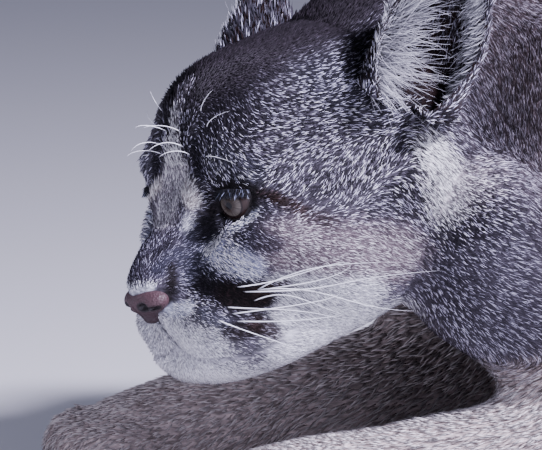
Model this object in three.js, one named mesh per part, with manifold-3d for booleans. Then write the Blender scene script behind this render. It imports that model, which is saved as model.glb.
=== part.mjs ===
// A life-size cougar at rest: it lies on its belly with its forelegs out in front, its hind legs
// folded at its sides and its tail laid round its left flank. The head is held low, a little to the
// animal's left. Millimetres, +Z up. The animal faces -X and its left side faces -Y.
import * as THREE from 'three';
import { LoftGeometry } from 'three/addons/geometries/LoftGeometry.js';
import { mergeVertices } from 'three/addons/utils/BufferGeometryUtils.js';
import Module from 'manifold-3d';

const wasm = await Module();
wasm.setup();

// Driving sizes
const GAP = 0.3;
const LEFT = -1;
const RIGHT = 1;
const EYE_RADIUS = 12.5;
const EYE_CENTRE = [-8, 30, -1];
const HEAD_ORIGIN = [-235, -65, 175];
const HEAD_TURN = 197;
const HEAD_NOD = 12.4;
const HEAD_TILT = 5.4;
const EAR_HEIGHT = 86;
const EAR_WIDTH = 26;
const EAR_WALL = 4.5;
const CHEST_AT = 210;
const HIPS_AT = 508;

// Torso: a smooth line through stations of x, y, z, half width and half height.
const TORSO = [
  [-40, 0, 180, 84, 106],
  [30, 0, 172, 108, 148],
  [140, 0, 156, 118, 160],
  [280, 0, 147, 124, 152],
  [410, 0, 138, 122, 142],
  [520, 0, 138, 116, 138],
  [620, 0, 146, 106, 124],
  [690, 0, 148, 80, 88],
];
const NECK = [
  [-150, -38, 204, 62, 62],
  [-90, -22, 222, 76, 76],
  [-20, -6, 226, 90, 92],
  [60, 0, 208, 100, 104],
];
// Legs, given for the right side; the left side mirrors them.
const SHOULDER = [[5, 86, 190], [76, 44, 92]];
const UPPER_ARM = [
  [-70, 102, 150, 48, 54],
  [10, 114, 100, 48, 52],
  [84, 122, 56, 38, 42],
];
const FOREARM = [
  [84, 122, 50, 37, 43],
  [-25, 118, 42, 35, 41],
  [-128, 108, 35, 29, 34],
];
const FOREPAW = [
  [-128, 108, 33, 29, 33],
  [-175, 104, 29, 36, 31],
  [-215, 101, 23, 39, 25],
];
const THIGH = [
  [610, 62, 165, 52, 66],
  [520, 112, 142, 58, 82],
  [430, 146, 98, 44, 54],
];
const SHANK = [
  [425, 146, 88, 40, 46],
  [530, 158, 62, 32, 40],
  [640, 164, 42, 24, 32],
];
const HIND_FOOT = [
  [650, 166, 34, 22, 32],
  [560, 180, 22, 23, 24],
  [470, 186, 21, 32, 24],
  [435, 186, 19, 35, 22],
];
const TAIL = [
  [690, 0, 168, 42, 44],
  [765, -8, 112, 37, 38],
  [818, -66, 52, 34, 34],
  [816, -166, 31, 32, 32],
  [742, -256, 29, 31, 31],
  [620, -300, 29, 30, 30],
  [490, -308, 28, 30, 30],
  [385, -296, 27, 27, 28],
];
const FORELEG_REACH = { [LEFT]: -30, [RIGHT]: -5 };

// Head masses, in the head's own frame: X towards the nose, Y to the animal's left, Z up, with the
// origin midway between the eyes. Each is an ellipsoid: centre, radii, nose-down tilt, blend.
const HEAD_MASSES = {
  cranium: [[-76, 0, 12], [69, 62, 56], 0, 20],
  forehead: [[-34, 0, 17], [43, 48, 47], 6, 18],
  brow: [[-16, 29, 15], [20, 17, 11], -8, 12],
  cheekbone: [[-40, 40, -20], [44, 31, 28], 8, 20],
  underEye: [[-4, 24, -32], [26, 20, 25], 20, 20],
  noseRoot: [[3, 13, 0], [14, 11, 13], 0, 10],
  bridge: [[13, 0, -15], [41, 16, 15.5], 33, 14],
  noseEnd: [[30, 0, -36], [13, 15, 10], 0, 9],
  muzzle: [[3, 0, -54], [33, 34, 22], 0, 16],
  pad: [[17, 18, -55], [20, 18, 16], 0, 6],
  chin: [[11, 0, -78], [24, 20, 12], 0, 12],
  jaw: [[-18, 22, -71], [46, 26, 18], 4, 20],
  masseter: [[-56, 42, -42], [42, 34, 36], 0, 20],
  throat: [[-78, 0, -42], [62, 50, 40], 0, 20],
  ruff: [[-88, 52, -28], [38, 30, 38], 0, 18],
  nape: [[-128, 0, -2], [50, 68, 60], 0, 24],
  earRoot: [[-92, 52, 24], [24, 18, 16], 0, 16],
};
// Hollows: the eye's socket, the inner corner of the eye and the temple.
const HEAD_HOLLOWS = [
  [[8, 37, 0], [13, 11, 9], 0, 8],
  [[13, 23, -11], [8, 5, 7], 0, 8],
  [[-36, 72, 22], [30, 16, 20], 0, 16],
];

// The mouth: the line where the lower jaw parts from the upper lip, front to corner.
const MOUTH_FRONT = [60, -67];
const MOUTH_MIDDLE = [18, -73];
const MOUTH_CORNER = [-12, -66];

const vec = (x, y, z) => new THREE.Vector3(x, y, z);
const rad = THREE.MathUtils.degToRad;

const headFrame = new THREE.Matrix4()
  .makeRotationZ(rad(HEAD_TURN))
  .multiply(new THREE.Matrix4().makeRotationY(rad(HEAD_NOD)))
  .multiply(new THREE.Matrix4().makeRotationX(rad(HEAD_TILT)))
  .setPosition(...HEAD_ORIGIN);

// Solids and meshes
function solid(geometry) {
  const bare = new THREE.BufferGeometry().setAttribute('position', geometry.getAttribute('position'));
  bare.setIndex(geometry.index);
  const merged = mergeVertices(bare, 1e-3);
  const index = Array.from(merged.index.array);
  const whole = [];
  for (let i = 0; i < index.length; i += 3) {
    const [a, b, c] = index.slice(i, i + 3);
    if (a !== b && b !== c && a !== c) whole.push(a, b, c);
  }
  const make = (triVerts) => new wasm.Manifold(new wasm.Mesh({
    numProp: 3,
    vertProperties: merged.attributes.position.array,
    triVerts: new Uint32Array(triVerts),
  }));
  const made = make(whole);
  return made.volume() > 0 ? made : make(whole.reverse());
}

function largest(body) {
  const pieces = body.decompose();
  return pieces.reduce((a, b) => (a.volume() > b.volume() ? a : b));
}

function geometryOf(body) {
  const mesh = body.getMesh();
  const geometry = new THREE.BufferGeometry();
  const count = mesh.vertProperties.length / mesh.numProp;
  const position = new Float32Array(count * 3);
  for (let i = 0; i < count; i++) {
    position.set(mesh.vertProperties.subarray(i * mesh.numProp, i * mesh.numProp + 3), i * 3);
  }
  geometry.setAttribute('position', new THREE.BufferAttribute(position, 3));
  geometry.setIndex(new THREE.BufferAttribute(mesh.triVerts, 1));
  return geometry;
}

// A rounded limb: an oval section carried along a smooth line through its stations. An end is a
// dome, or flat where the limb is parted there.
function limb(stations, { sides = 12, steps = 3, grow = 0, from = 0, to = 1, domes = [true, true] } = {}) {
  const line = new THREE.CatmullRomCurve3(stations.map(([x, y, z]) => vec(x, y, z)));
  line.curveType = 'catmullrom';
  const size = new THREE.CatmullRomCurve3(stations.map(([, , , w, h]) => vec(w, h, 0)));
  size.curveType = 'catmullrom';
  const sections = [];
  const ring = (t, push, scale) => {
    const centre = line.getPoint(t);
    const along = line.getTangent(t);
    const side = vec(0, 0, 1).cross(along).normalize();
    const up = along.clone().cross(side);
    const { x: w, y: h } = size.getPoint(t);
    const points = [];
    for (let i = 0; i < sides; i++) {
      const angle = (i / sides) * 2 * Math.PI;
      points.push(centre.clone()
        .addScaledVector(along, push * (Math.min(w, h) + grow))
        .addScaledVector(side, Math.cos(angle) * (w + grow) * scale)
        .addScaledVector(up, Math.sin(angle) * (h + grow) * scale));
    }
    sections.push(points);
  };
  const count = Math.max(1, Math.round(steps * (stations.length - 1) * (to - from)));
  const domeAngles = [70, 38].map(rad);
  if (domes[0]) domeAngles.forEach((a) => ring(from, -0.8 * Math.sin(a), Math.cos(a)));
  for (let i = 0; i <= count; i++) ring(from + (to - from) * (i / count), 0, 1);
  if (domes[1]) domeAngles.reverse().forEach((a) => ring(to, 0.8 * Math.sin(a), Math.cos(a)));
  return solid(new LoftGeometry(sections, { capStart: true, capEnd: true }));
}

const mirrored = (stations, side, shift = 0) =>
  stations.map(([x, y, z, w, h]) => [x + shift, y * side, z, w, h]);

function ball(centre, radii, detail = [14, 10]) {
  const geometry = new THREE.SphereGeometry(1, ...detail);
  geometry.scale(...radii);
  geometry.translate(...centre);
  return solid(geometry);
}

function block(low, high) {
  const size = high.map((v, i) => v - low[i]);
  const geometry = new THREE.BoxGeometry(...size);
  geometry.translate(...low.map((v, i) => v + size[i] / 2));
  return solid(geometry);
}

const aboveFloor = block([-2000, -2000, 0], [2000, 2000, 2000]);

// Head: a skin drawn over the masses. A point's depth is found as for a group of ellipsoids that
// run softly into each other; rays that leave a line inside the head then find the surface.
function ellipsoidDepth(p, [centre, radii, tilt]) {
  const t = rad(tilt);
  const dx = p[0] - centre[0];
  const dz = p[2] - centre[2];
  const q = [
    (dx * Math.cos(t) - dz * Math.sin(t)) / radii[0],
    (p[1] - centre[1]) / radii[1],
    (dx * Math.sin(t) + dz * Math.cos(t)) / radii[2],
  ];
  const k0 = Math.hypot(...q);
  const k1 = Math.hypot(...q.map((v, i) => v / radii[i]));
  return (k0 * (k0 - 1)) / Math.max(k1, 1e-9);
}

function softMin(a, b, k) {
  const h = THREE.MathUtils.clamp(0.5 + (0.5 * (b - a)) / k, 0, 1);
  return b * (1 - h) + a * h - k * h * (1 - h);
}

function headDepth(x, y, z) {
  const p = [x, Math.sqrt(y * y + 4), z];
  let depth = null;
  for (const mass of Object.values(HEAD_MASSES)) {
    const d = ellipsoidDepth(p, mass);
    depth = depth === null ? d : softMin(depth, d, mass[3]);
  }
  for (const hollow of HEAD_HOLLOWS) {
    depth = -softMin(-depth, ellipsoidDepth(p, hollow), hollow[3]);
  }
  const lid = Math.hypot(p[0] - EYE_CENTRE[0] + 1, p[1] - EYE_CENTRE[1], p[2] - EYE_CENTRE[2]);
  return softMin(depth, lid - EYE_RADIUS - 2, 4);
}

const HEAD_LINE_FRONT = vec(22, 0, -52);
const HEAD_LINE_BACK = vec(-80, 0, -20);
const HEAD_FAN = 0.3;

function headSolid({ rings = 32, sides = 34, grow = 0 } = {}) {
  const along = HEAD_LINE_FRONT.clone().sub(HEAD_LINE_BACK).normalize();
  const side = vec(0, 1, 0);
  const up = along.clone().cross(side);
  const sections = [];
  for (let i = 0; i < rings; i++) {
    const u = THREE.MathUtils.lerp(0.02, 0.98, i / (rings - 1));
    const t = THREE.MathUtils.clamp((u - HEAD_FAN) / (1 - 2 * HEAD_FAN), 0, 1);
    const from = HEAD_LINE_FRONT.clone().lerp(HEAD_LINE_BACK, t);
    let open = Math.PI / 2;
    if (u < HEAD_FAN) open = (u / HEAD_FAN) * (Math.PI / 2);
    if (u > 1 - HEAD_FAN) open = Math.PI / 2 + ((u - 1 + HEAD_FAN) / HEAD_FAN) * (Math.PI / 2);
    const ring = [];
    for (let j = 0; j < sides; j++) {
      const angle = (j / sides) * 2 * Math.PI;
      const ray = along.clone().multiplyScalar(Math.cos(open))
        .addScaledVector(up, Math.sin(open) * Math.cos(angle))
        .addScaledVector(side, Math.sin(open) * Math.sin(angle));
      let reach = 190;
      for (let k = 0; k < 60; k++) {
        const p = from.clone().addScaledVector(ray, reach);
        const depth = THREE.MathUtils.clamp(headDepth(p.x, p.y, p.z) - grow, -4, 30);
        reach = Math.max(1, reach - depth * (k < 40 ? 0.8 : 0.5));
      }
      ring.push(from.clone().addScaledVector(ray, reach).applyMatrix4(headFrame));
    }
    sections.push(ring);
  }
  return solid(new LoftGeometry(sections, { capStart: true, capEnd: true }));
}

// Eyes, and the opening between the lids about the line of sight: its upper edge is nearly level and
// its lower edge a deep bow.
const LOOK_OUT = 16;
const LOOK_DOWN = 4;
const EYE_SLANT = -2;
const OPENING = { halfWidth: 12, up: 4.4, down: 7.2 };
const LID_THICKNESS = 1.8;

function eyeFrame(side) {
  const centre = vec(EYE_CENTRE[0], side * EYE_CENTRE[1], EYE_CENTRE[2]);
  const look = vec(Math.cos(rad(LOOK_OUT)), side * Math.sin(rad(LOOK_OUT)), -Math.sin(rad(LOOK_DOWN)));
  look.normalize();
  const outward = vec(-Math.sin(rad(LOOK_OUT)), side * Math.cos(rad(LOOK_OUT)), 0);
  const across = outward.multiplyScalar(Math.cos(rad(EYE_SLANT))).add(vec(0, 0, Math.sin(rad(EYE_SLANT))));
  const up = look.clone().cross(across).multiplyScalar(-side).normalize();
  across.copy(up.clone().cross(look).multiplyScalar(-side)).normalize();
  return headFrame.clone().multiply(new THREE.Matrix4().makeBasis(
    side > 0 ? across : across.clone().negate(),
    up,
    look,
  ).setPosition(centre));
}

function almond(scale = 1) {
  const { halfWidth: w, up, down } = OPENING;
  const shape = new THREE.Shape();
  shape.moveTo(-w * scale, 2 * scale);
  shape.bezierCurveTo(-w * 0.6, up * 1.2 * scale, w * 0.6, up * 1.2 * scale, w * scale, 2 * scale);
  shape.bezierCurveTo(w * 0.8, -down * 1.5 * scale, -w * 0.8, -down * 1.5 * scale, -w * scale, 2 * scale);
  return shape;
}

function lidOpening(side) {
  const shape = almond();
  const geometry = new THREE.ExtrudeGeometry(shape, { depth: 40, bevelEnabled: false, curveSegments: 8 });
  geometry.applyMatrix4(eyeFrame(side));
  return solid(geometry);
}

function lidRim(side) {
  const edge = almond(1.06).getPoints(8).map((p) => {
    const lift = Math.sqrt(Math.max(0, (EYE_RADIUS + 1.4) ** 2 - p.x * p.x - p.y * p.y));
    return vec(p.x, p.y, lift);
  });
  const line = new THREE.CatmullRomCurve3(edge.slice(0, -1), true);
  const round = new THREE.Shape().absarc(0, 0, LID_THICKNESS, 0, 2 * Math.PI);
  const geometry = new THREE.ExtrudeGeometry(round, { steps: 16, extrudePath: line, curveSegments: 3 });
  geometry.applyMatrix4(eyeFrame(side));
  return solid(geometry);
}

const eyeball = (side, grow = 0) => {
  const geometry = new THREE.SphereGeometry(EYE_RADIUS + grow, 16, 12);
  geometry.translate(EYE_CENTRE[0], side * EYE_CENTRE[1], EYE_CENTRE[2]);
  geometry.applyMatrix4(headFrame);
  return solid(geometry);
};

// Lower jaw: what lies under the mouth line, from the chin back to the mouth's corner.
function jawRegion(grow = 0) {
  const shape = new THREE.Shape();
  shape.moveTo(MOUTH_CORNER[0] - grow, MOUTH_CORNER[1] + grow);
  shape.quadraticCurveTo(MOUTH_MIDDLE[0], MOUTH_MIDDLE[1] + grow, MOUTH_FRONT[0], MOUTH_FRONT[1] + grow);
  shape.lineTo(MOUTH_FRONT[0], -130);
  shape.lineTo(MOUTH_CORNER[0] - grow - 14, -130);
  const geometry = new THREE.ExtrudeGeometry(shape, { depth: 160, bevelEnabled: false, curveSegments: 8 });
  geometry.rotateX(Math.PI / 2);
  geometry.translate(0, 80, 0);
  geometry.applyMatrix4(headFrame);
  return solid(geometry);
}

// Nose: a leathery pad with two comma-shaped nostrils.
function nosePad() {
  const inHead = (centre, radii, detail) => {
    const geometry = new THREE.SphereGeometry(1, ...detail);
    geometry.scale(...radii);
    geometry.translate(...centre);
    return solid(geometry.applyMatrix4(headFrame));
  };
  let pad = inHead([40.5, 0, -38.5], [9.5, 15, 7.5], [14, 10]);
  pad = pad.add(inHead([42, 0, -46], [5, 6, 7], [8, 6]));
  for (const side of [LEFT, RIGHT]) {
    pad = pad.subtract(inHead([49, side * 7, -40], [4.5, 3.2, 2.8], [8, 6]));
    pad = pad.subtract(inHead([45.5, side * 11.8, -41.5], [4.5, 3.6, 1.6], [8, 6]));
  }
  return pad;
}

// Ears: a cup, open to the front and side, that rolls round from its front edge to its back edge.
const EAR_BASE = [-90, 63, 22];
const EAR_AXIS = [-0.45, 0.38, 0.82];
const EAR_OPENS = [0.72, 0.62, -0.1];

function ear(side) {
  const axis = vec(EAR_AXIS[0], side * EAR_AXIS[1], EAR_AXIS[2]).normalize();
  const opens = vec(EAR_OPENS[0], side * EAR_OPENS[1], EAR_OPENS[2]);
  opens.addScaledVector(axis, -opens.dot(axis)).normalize();
  const across = axis.clone().cross(opens);
  const base = vec(EAR_BASE[0], side * EAR_BASE[1], EAR_BASE[2]);
  const sections = [];
  const rings = 8;
  const arc = 9;
  for (let i = 0; i <= rings; i++) {
    const s = i / rings;
    const roll = rad(THREE.MathUtils.lerp(150, 62, Math.min(1, s * 1.5)));
    const width = EAR_WIDTH * (1 + 0.15 * s) * Math.sqrt(Math.max(0.02, 1 - s ** 3.2));
    const wall = EAR_WALL * (1 - 0.45 * s);
    const lean = 10 * s * s;
    const ring = [];
    const place = (radius, angle) => {
      const p = base.clone()
        .addScaledVector(axis, EAR_HEIGHT * s)
        .addScaledVector(opens, -radius * Math.cos(angle) + lean)
        .addScaledVector(across, radius * Math.sin(angle));
      ring.push(p.applyMatrix4(headFrame));
    };
    for (let j = 0; j <= arc; j++) place(width, THREE.MathUtils.lerp(-roll, roll, j / arc));
    const inside = Math.max(0.6, width - wall);
    for (let j = 0; j <= arc; j++) place(inside, THREE.MathUtils.lerp(roll, -roll, j / arc));
    sections.push(ring.reverse());
  }
  return solid(new LoftGeometry(sections, { capStart: true, capEnd: true }));
}

// Paws: the limb's end with four toes.
function toes(x, y, z, spread, [long, wide, high]) {
  let all = null;
  for (const [place, push] of [[-1.5, 8], [-0.5, 0], [0.5, 0], [1.5, 8]]) {
    const toe = ball([x + push, y + place * spread, z], [long, wide, high], [8, 5]);
    all = all ? all.add(toe) : toe;
  }
  return all;
}

// Assembly
const FUR = new THREE.MeshStandardMaterial({ color: 0x8a7663, roughness: 0.85, metalness: 0 });
const PALE_FUR = new THREE.MeshStandardMaterial({ color: 0xcfc3b4, roughness: 0.85, metalness: 0 });
const DARK_FUR = new THREE.MeshStandardMaterial({ color: 0x3a302b, roughness: 0.85, metalness: 0 });
const LEATHER = new THREE.MeshStandardMaterial({ color: 0x9a6a60, roughness: 0.5, metalness: 0 });
const EYE = new THREE.MeshStandardMaterial({ color: 0x8c7350, roughness: 0.1, metalness: 0 });

const cougar = new THREE.Group();
const add = (name, body, material) => {
  const kept = largest(body.intersect(aboveFloor));
  const mesh = new THREE.Mesh(geometryOf(kept), material);
  mesh.name = name;
  cougar.add(mesh);
  return kept;
};

const head = headSolid();
const headGrown = headSolid({ grow: GAP });
const torsoGrown = limb(TORSO, { sides: 24, steps: 2, grow: GAP });

const torso = limb(TORSO, { sides: 24, steps: 2 }).subtract(headGrown);
const slab = (x0, x1) => block([x0, -400, -100], [x1, 400, 600]);
add('chest', torso.intersect(slab(-400, CHEST_AT - GAP / 2)), FUR);
add('belly', torso.intersect(slab(CHEST_AT + GAP / 2, HIPS_AT - GAP / 2)), FUR);
add('hips', torso.intersect(slab(HIPS_AT + GAP / 2, 1200)), FUR);

add('neck', limb(NECK, { sides: 18, steps: 3 }).subtract(headGrown).subtract(torsoGrown), FUR);
const neckGrown = limb(NECK, { sides: 18, steps: 3, grow: GAP });

let face = head;
for (const side of [LEFT, RIGHT]) {
  face = face.subtract(lidOpening(side)).add(lidRim(side)).subtract(eyeball(side, GAP));
}
add('head', face.subtract(jawRegion(GAP)), FUR);
add('jaw', head.intersect(jawRegion()), PALE_FUR);
add('nose', nosePad().subtract(headGrown), LEATHER);

for (const [side, word] of [[LEFT, 'right'], [RIGHT, 'left']]) {
  add(`eye_${word}`, eyeball(side), EYE);
  add(`ear_${word}`, ear(side).subtract(headGrown).subtract(neckGrown), DARK_FUR);
}

for (const [side, word] of [[LEFT, 'left'], [RIGHT, 'right']]) {
  const reach = FORELEG_REACH[side];
  const arm = mirrored(UPPER_ARM, side, reach);
  const forearm = mirrored(FOREARM, side, reach);
  const paw = mirrored(FOREPAW, side, reach);
  const shoulder = (grow) => ball(
    [SHOULDER[0][0] + reach, SHOULDER[0][1] * side, SHOULDER[0][2]],
    SHOULDER[1].map((r) => r + grow),
  );
  const armGrown = limb(arm, { grow: GAP }).add(shoulder(GAP));
  const upper = limb(arm).add(shoulder(0)).subtract(torsoGrown).subtract(neckGrown).subtract(headGrown);
  add(`foreleg_${word}_upper`, upper, FUR);
  add(`foreleg_${word}_lower`, limb(forearm).subtract(armGrown).subtract(torsoGrown), FUR);
  const pad = toes(paw[2][0] - 20, paw[2][1], 20, 21, [27, 13.5, 22]);
  add(`forepaw_${word}`, limb(paw).add(pad).subtract(limb(forearm, { grow: GAP })), FUR);

  const thigh = mirrored(THIGH, side);
  const shank = mirrored(SHANK, side);
  const foot = mirrored(HIND_FOOT, side);
  const thighGrown = limb(thigh, { grow: GAP });
  add(`hindleg_${word}_thigh`, limb(thigh).subtract(torsoGrown), FUR);
  add(`hindleg_${word}_shank`, limb(shank).subtract(thighGrown).subtract(torsoGrown), FUR);
  const hindToes = toes(foot[3][0] - 18, foot[3][1], 18, 19, [24, 12.5, 20]);
  add(`hindfoot_${word}`, limb(foot).add(hindToes).subtract(limb(shank, { grow: GAP }))
    .subtract(thighGrown).subtract(torsoGrown), FUR);
}

// The tail is parted square to its own line. Each length is the piece nearest to its middle.
const tailLine = new THREE.CatmullRomCurve3(TAIL.map(([x, y, z]) => vec(x, y, z)), false, 'catmullrom');
let tail = limb(TAIL).subtract(torsoGrown);
for (const at of [0.34, 0.56, 0.78]) {
  const disc = new THREE.BoxGeometry(90, 90, GAP);
  const turn = new THREE.Quaternion().setFromUnitVectors(vec(0, 0, 1), tailLine.getTangent(at));
  disc.applyQuaternion(turn);
  disc.translate(...tailLine.getPoint(at).toArray());
  tail = tail.subtract(solid(disc));
}
const tailPieces = tail.decompose();
for (const [name, at] of [['tail_root', 0.2], ['tail_near', 0.45], ['tail_far', 0.67], ['tail_tip', 0.9]]) {
  const middle = tailLine.getPoint(at);
  const distance = (piece) => {
    const { min, max } = piece.boundingBox();
    return middle.distanceTo(vec((min[0] + max[0]) / 2, (min[1] + max[1]) / 2, (min[2] + max[2]) / 2));
  };
  const piece = tailPieces.reduce((a, b) => (distance(a) < distance(b) ? a : b));
  add(name, piece, name === 'tail_tip' ? DARK_FUR : FUR);
}

// The origin is the middle of the animal's footprint, on the floor.
const bounds = new THREE.Box3().setFromObject(cougar);
const middle = bounds.getCenter(vec(0, 0, 0));
cougar.position.set(-middle.x, -middle.y, 0);

export default cougar;
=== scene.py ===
import bpy
import numpy as np
from mathutils import Matrix, Vector


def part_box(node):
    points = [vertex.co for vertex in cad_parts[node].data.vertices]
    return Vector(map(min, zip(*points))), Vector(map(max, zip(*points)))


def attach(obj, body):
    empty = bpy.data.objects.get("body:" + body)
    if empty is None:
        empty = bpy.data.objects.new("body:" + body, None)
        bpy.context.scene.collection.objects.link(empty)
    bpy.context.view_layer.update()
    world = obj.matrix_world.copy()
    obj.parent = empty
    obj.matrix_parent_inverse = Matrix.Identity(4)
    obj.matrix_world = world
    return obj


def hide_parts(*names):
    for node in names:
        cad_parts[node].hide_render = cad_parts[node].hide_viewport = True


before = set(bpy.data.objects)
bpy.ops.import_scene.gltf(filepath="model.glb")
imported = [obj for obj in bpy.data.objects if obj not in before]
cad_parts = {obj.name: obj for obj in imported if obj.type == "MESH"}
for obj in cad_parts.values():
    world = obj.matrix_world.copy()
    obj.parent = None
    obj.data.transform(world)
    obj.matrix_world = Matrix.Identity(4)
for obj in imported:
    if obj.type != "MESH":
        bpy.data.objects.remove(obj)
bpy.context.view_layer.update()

# Camera, light and floor.
# A plain studio: a small strong lamp high on the camera's right, two weak wide ones, a pale even
# surround and a pale floor. The camera looks at the lowered head from the animal's left.
def turned(axis, degrees):
    """The rotation matrix about axis 0, 1 or 2 by an angle in degrees, right-handed."""
    c, s = np.cos(np.radians(degrees)), np.sin(np.radians(degrees))
    i, j = [(1, 2), (2, 0), (0, 1)][axis]
    m = np.eye(3)
    m[i, i], m[i, j], m[j, i], m[j, j] = c, -s, s, c
    return m


def finish(name, entries):
    """A material of shader nodes joined by name: each entry is (name, kind, settings, inputs), and an
    input that is a node's name and an output is a link."""
    material = bpy.data.materials.new(name)
    material.use_nodes = True
    tree = material.node_tree
    made = {"surface": tree.nodes["Principled BSDF"]}
    for label, kind, settings, inputs in entries:
        node = made.get(label) or tree.nodes.new(kind)
        made[label] = node
        for key, value in settings.items():
            setattr(node, key, value)
        for key, value in inputs.items():
            if isinstance(value, tuple) and isinstance(value[0], str):
                tree.links.new(made[value[0]].outputs[value[1]], node.inputs[key])
            else:
                node.inputs[key].default_value = value
    return material


# The head's frame starts between the eyes, turned to the animal's left, nose down and tilted, in degrees.
MM = 0.001
HEAD_TURN, HEAD_NOD, HEAD_TILT = 197, 12.4, 5.4
HEAD_POSE = turned(2, HEAD_TURN) @ turned(1, HEAD_NOD) @ turned(0, HEAD_TILT)
EYE_CENTRE, EYE_RADIUS = np.array([-8, 30, -1.0]), 12.5
ball_middles = (np.array(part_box("eye_left")).mean(0) + np.array(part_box("eye_right")).mean(0)) / 2
eyes = ball_middles - HEAD_POSE @ (EYE_CENTRE * [1, 0, 1]) * MM

SIDE_TURN, LOOK_DOWN, DISTANCE = np.radians(-20), np.radians(8), 2.2
SENSOR, PICTURE_WIDTH, PIXELS_PER_METRE = 36, 542, 2054
AIM_RIGHT, AIM_DOWN = 0.0370, 0.0129
right = np.array([np.cos(SIDE_TURN), np.sin(SIDE_TURN), 0])
back = np.array([np.sin(SIDE_TURN), -np.cos(SIDE_TURN), 0]) * np.cos(LOOK_DOWN) + [0, 0, np.sin(LOOK_DOWN)]
up = np.cross(back, right)
camera = bpy.data.objects.new("camera", bpy.data.cameras.new("camera"))
camera.data.sensor_width = SENSOR
camera.data.lens = SENSOR * PIXELS_PER_METRE * DISTANCE / PICTURE_WIDTH
camera.data.clip_end = 50
camera.matrix_world = (Matrix.Translation(eyes + right * AIM_RIGHT - up * AIM_DOWN + back * DISTANCE)
                       @ Matrix(np.stack([right, up, back], 1).tolist()).to_4x4())
bpy.context.collection.objects.link(camera)
bpy.context.scene.camera = camera

world = bpy.data.worlds.new("studio")
bpy.context.scene.world = world
world.use_nodes = True
surround = world.node_tree.nodes["Background"].inputs
surround["Color"].default_value = (0.64, 0.67, 1.0, 1)
surround["Strength"].default_value = 0.27

LAMPS = [  # metres to the camera's right, towards it and up from the eyes, watts, width, colour
    ("key", 1.25, 0.7, 1.15, 155, 0.25, (0.79, 0.76, 1.0)),
    ("fill", 0.7, 1.5, 0.05, 26, 0.7, (0.76, 0.75, 1.0)),
    ("side", -1.3, 0.2, 0.35, 10, 0.7, (0.80, 0.78, 1.0)),
]
for name, to_right, to_camera, rise, power, width, colour in LAMPS:
    lamp = bpy.data.lights.new(name, "AREA")
    lamp.energy, lamp.size, lamp.color = power, width, colour
    lit = bpy.data.objects.new(name, lamp)
    lit.location = eyes + right * to_right + back * to_camera + [0, 0, rise]
    lit.rotation_euler = (Vector(eyes) - lit.location).to_track_quat("-Z", "Y").to_euler()
    bpy.context.collection.objects.link(lit)

FLOOR_CORNERS = [(-6, -6, 0), (6, -6, 0), (6, 6, 0), (-6, 6, 0)]
floor_mesh = bpy.data.meshes.new("floor")
floor_mesh.from_pydata(FLOOR_CORNERS, [], [(0, 1, 2, 3)])
floor = bpy.data.objects.new("floor", floor_mesh)
bpy.context.collection.objects.link(floor)
floor_mesh.materials.append(finish("floor", [
    ("surface", "", {}, {"Base Color": (0.62, 0.62, 0.62, 1), "Roughness": 0.8}),
]))

# Head form.
# The head under its fur: a skull broad at the cheeks, a short deep muzzle, level brows over deep-set
# eyes, the mouth's line and the lids' openings. Millimetres, X to the nose, Y to its left, Z up.
def head_to_world(p):
    """Millimetres in the head's frame to metres in the part's frame."""
    return eyes + (np.asarray(p, float) @ HEAD_POSE.T) * MM


def world_to_head(p):
    """Metres in the part's frame to millimetres in the head's frame."""
    return ((np.asarray(p, float) - eyes) @ HEAD_POSE) / MM


HEAD_MASSES = {  # centre, radii, nose-down tilt in degrees, blend
    "cranium": ((-76, 0, 12), (69, 62, 56), 0, 20),
    "forehead": ((-34, 0, 17), (43, 48, 47), 6, 18),
    "brow": ((-16, 29, 15), (20, 17, 11), -8, 12),
    "cheekbone": ((-40, 40, -20), (44, 31, 28), 8, 20),
    "under_eye": ((-4, 24, -32), (26, 20, 25), 20, 20),
    "nose_root": ((3, 13, 0), (14, 11, 13), 0, 10),
    "bridge": ((13, 0, -15), (41, 16, 15.5), 33, 14),
    "nose_end": ((30, 0, -36), (13, 15, 10), 0, 9),
    "muzzle": ((3, 0, -54), (33, 34, 22), 0, 16),
    "pad": ((17, 18, -55), (20, 18, 16), 0, 6),
    "chin": ((11, 0, -78), (24, 20, 12), 0, 12),
    "jaw": ((-18, 22, -71), (46, 26, 18), 4, 20),
    "masseter": ((-56, 42, -42), (42, 34, 36), 0, 20),
    "throat": ((-78, 0, -42), (62, 50, 40), 0, 20),
    "ruff": ((-88, 52, -28), (38, 30, 38), 0, 18),
    "nape": ((-128, 0, -2), (50, 68, 60), 0, 24),
    "ear_root": ((-92, 52, 24), (24, 18, 16), 0, 16),
}
HEAD_HOLLOWS = {
    "orbit": ((8, 37, 0), (13, 11, 9), 8),
    "canthus": ((13, 23, -11), (8, 5, 7), 8),
    "temple": ((-36, 72, 22), (30, 16, 20), 16),
}
LOOK_OUT, LOOK_LOW, EYE_SLANT = np.radians(16), np.radians(-4), np.radians(-2)
GAZE = np.array([np.cos(LOOK_OUT) * np.cos(LOOK_LOW), np.sin(LOOK_OUT) * np.cos(LOOK_LOW), np.sin(LOOK_LOW)])
LID_ACROSS = np.array([-np.sin(LOOK_OUT), np.cos(LOOK_OUT), 0]) * np.cos(EYE_SLANT)
LID_ACROSS[2] = np.sin(EYE_SLANT)
LID_UP = np.cross(GAZE, LID_ACROSS)
LID_UP *= np.sign(LID_UP[2]) / np.linalg.norm(LID_UP)
HEAD_COAT, NOSE_TIP = 2.6, (43, 0, -40)


def spread_from(pole, first, second, off, turn):
    """Directions at an angle off a pole, turned about it from the first to the second way across:
    cos off times the pole, and sin off times (cos turn times the first, sin turn times the second)."""
    across = np.cos(turn)[..., None] * first + np.sin(turn)[..., None] * second
    return np.cos(off)[..., None] * pole + np.sin(off)[..., None] * across


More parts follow.
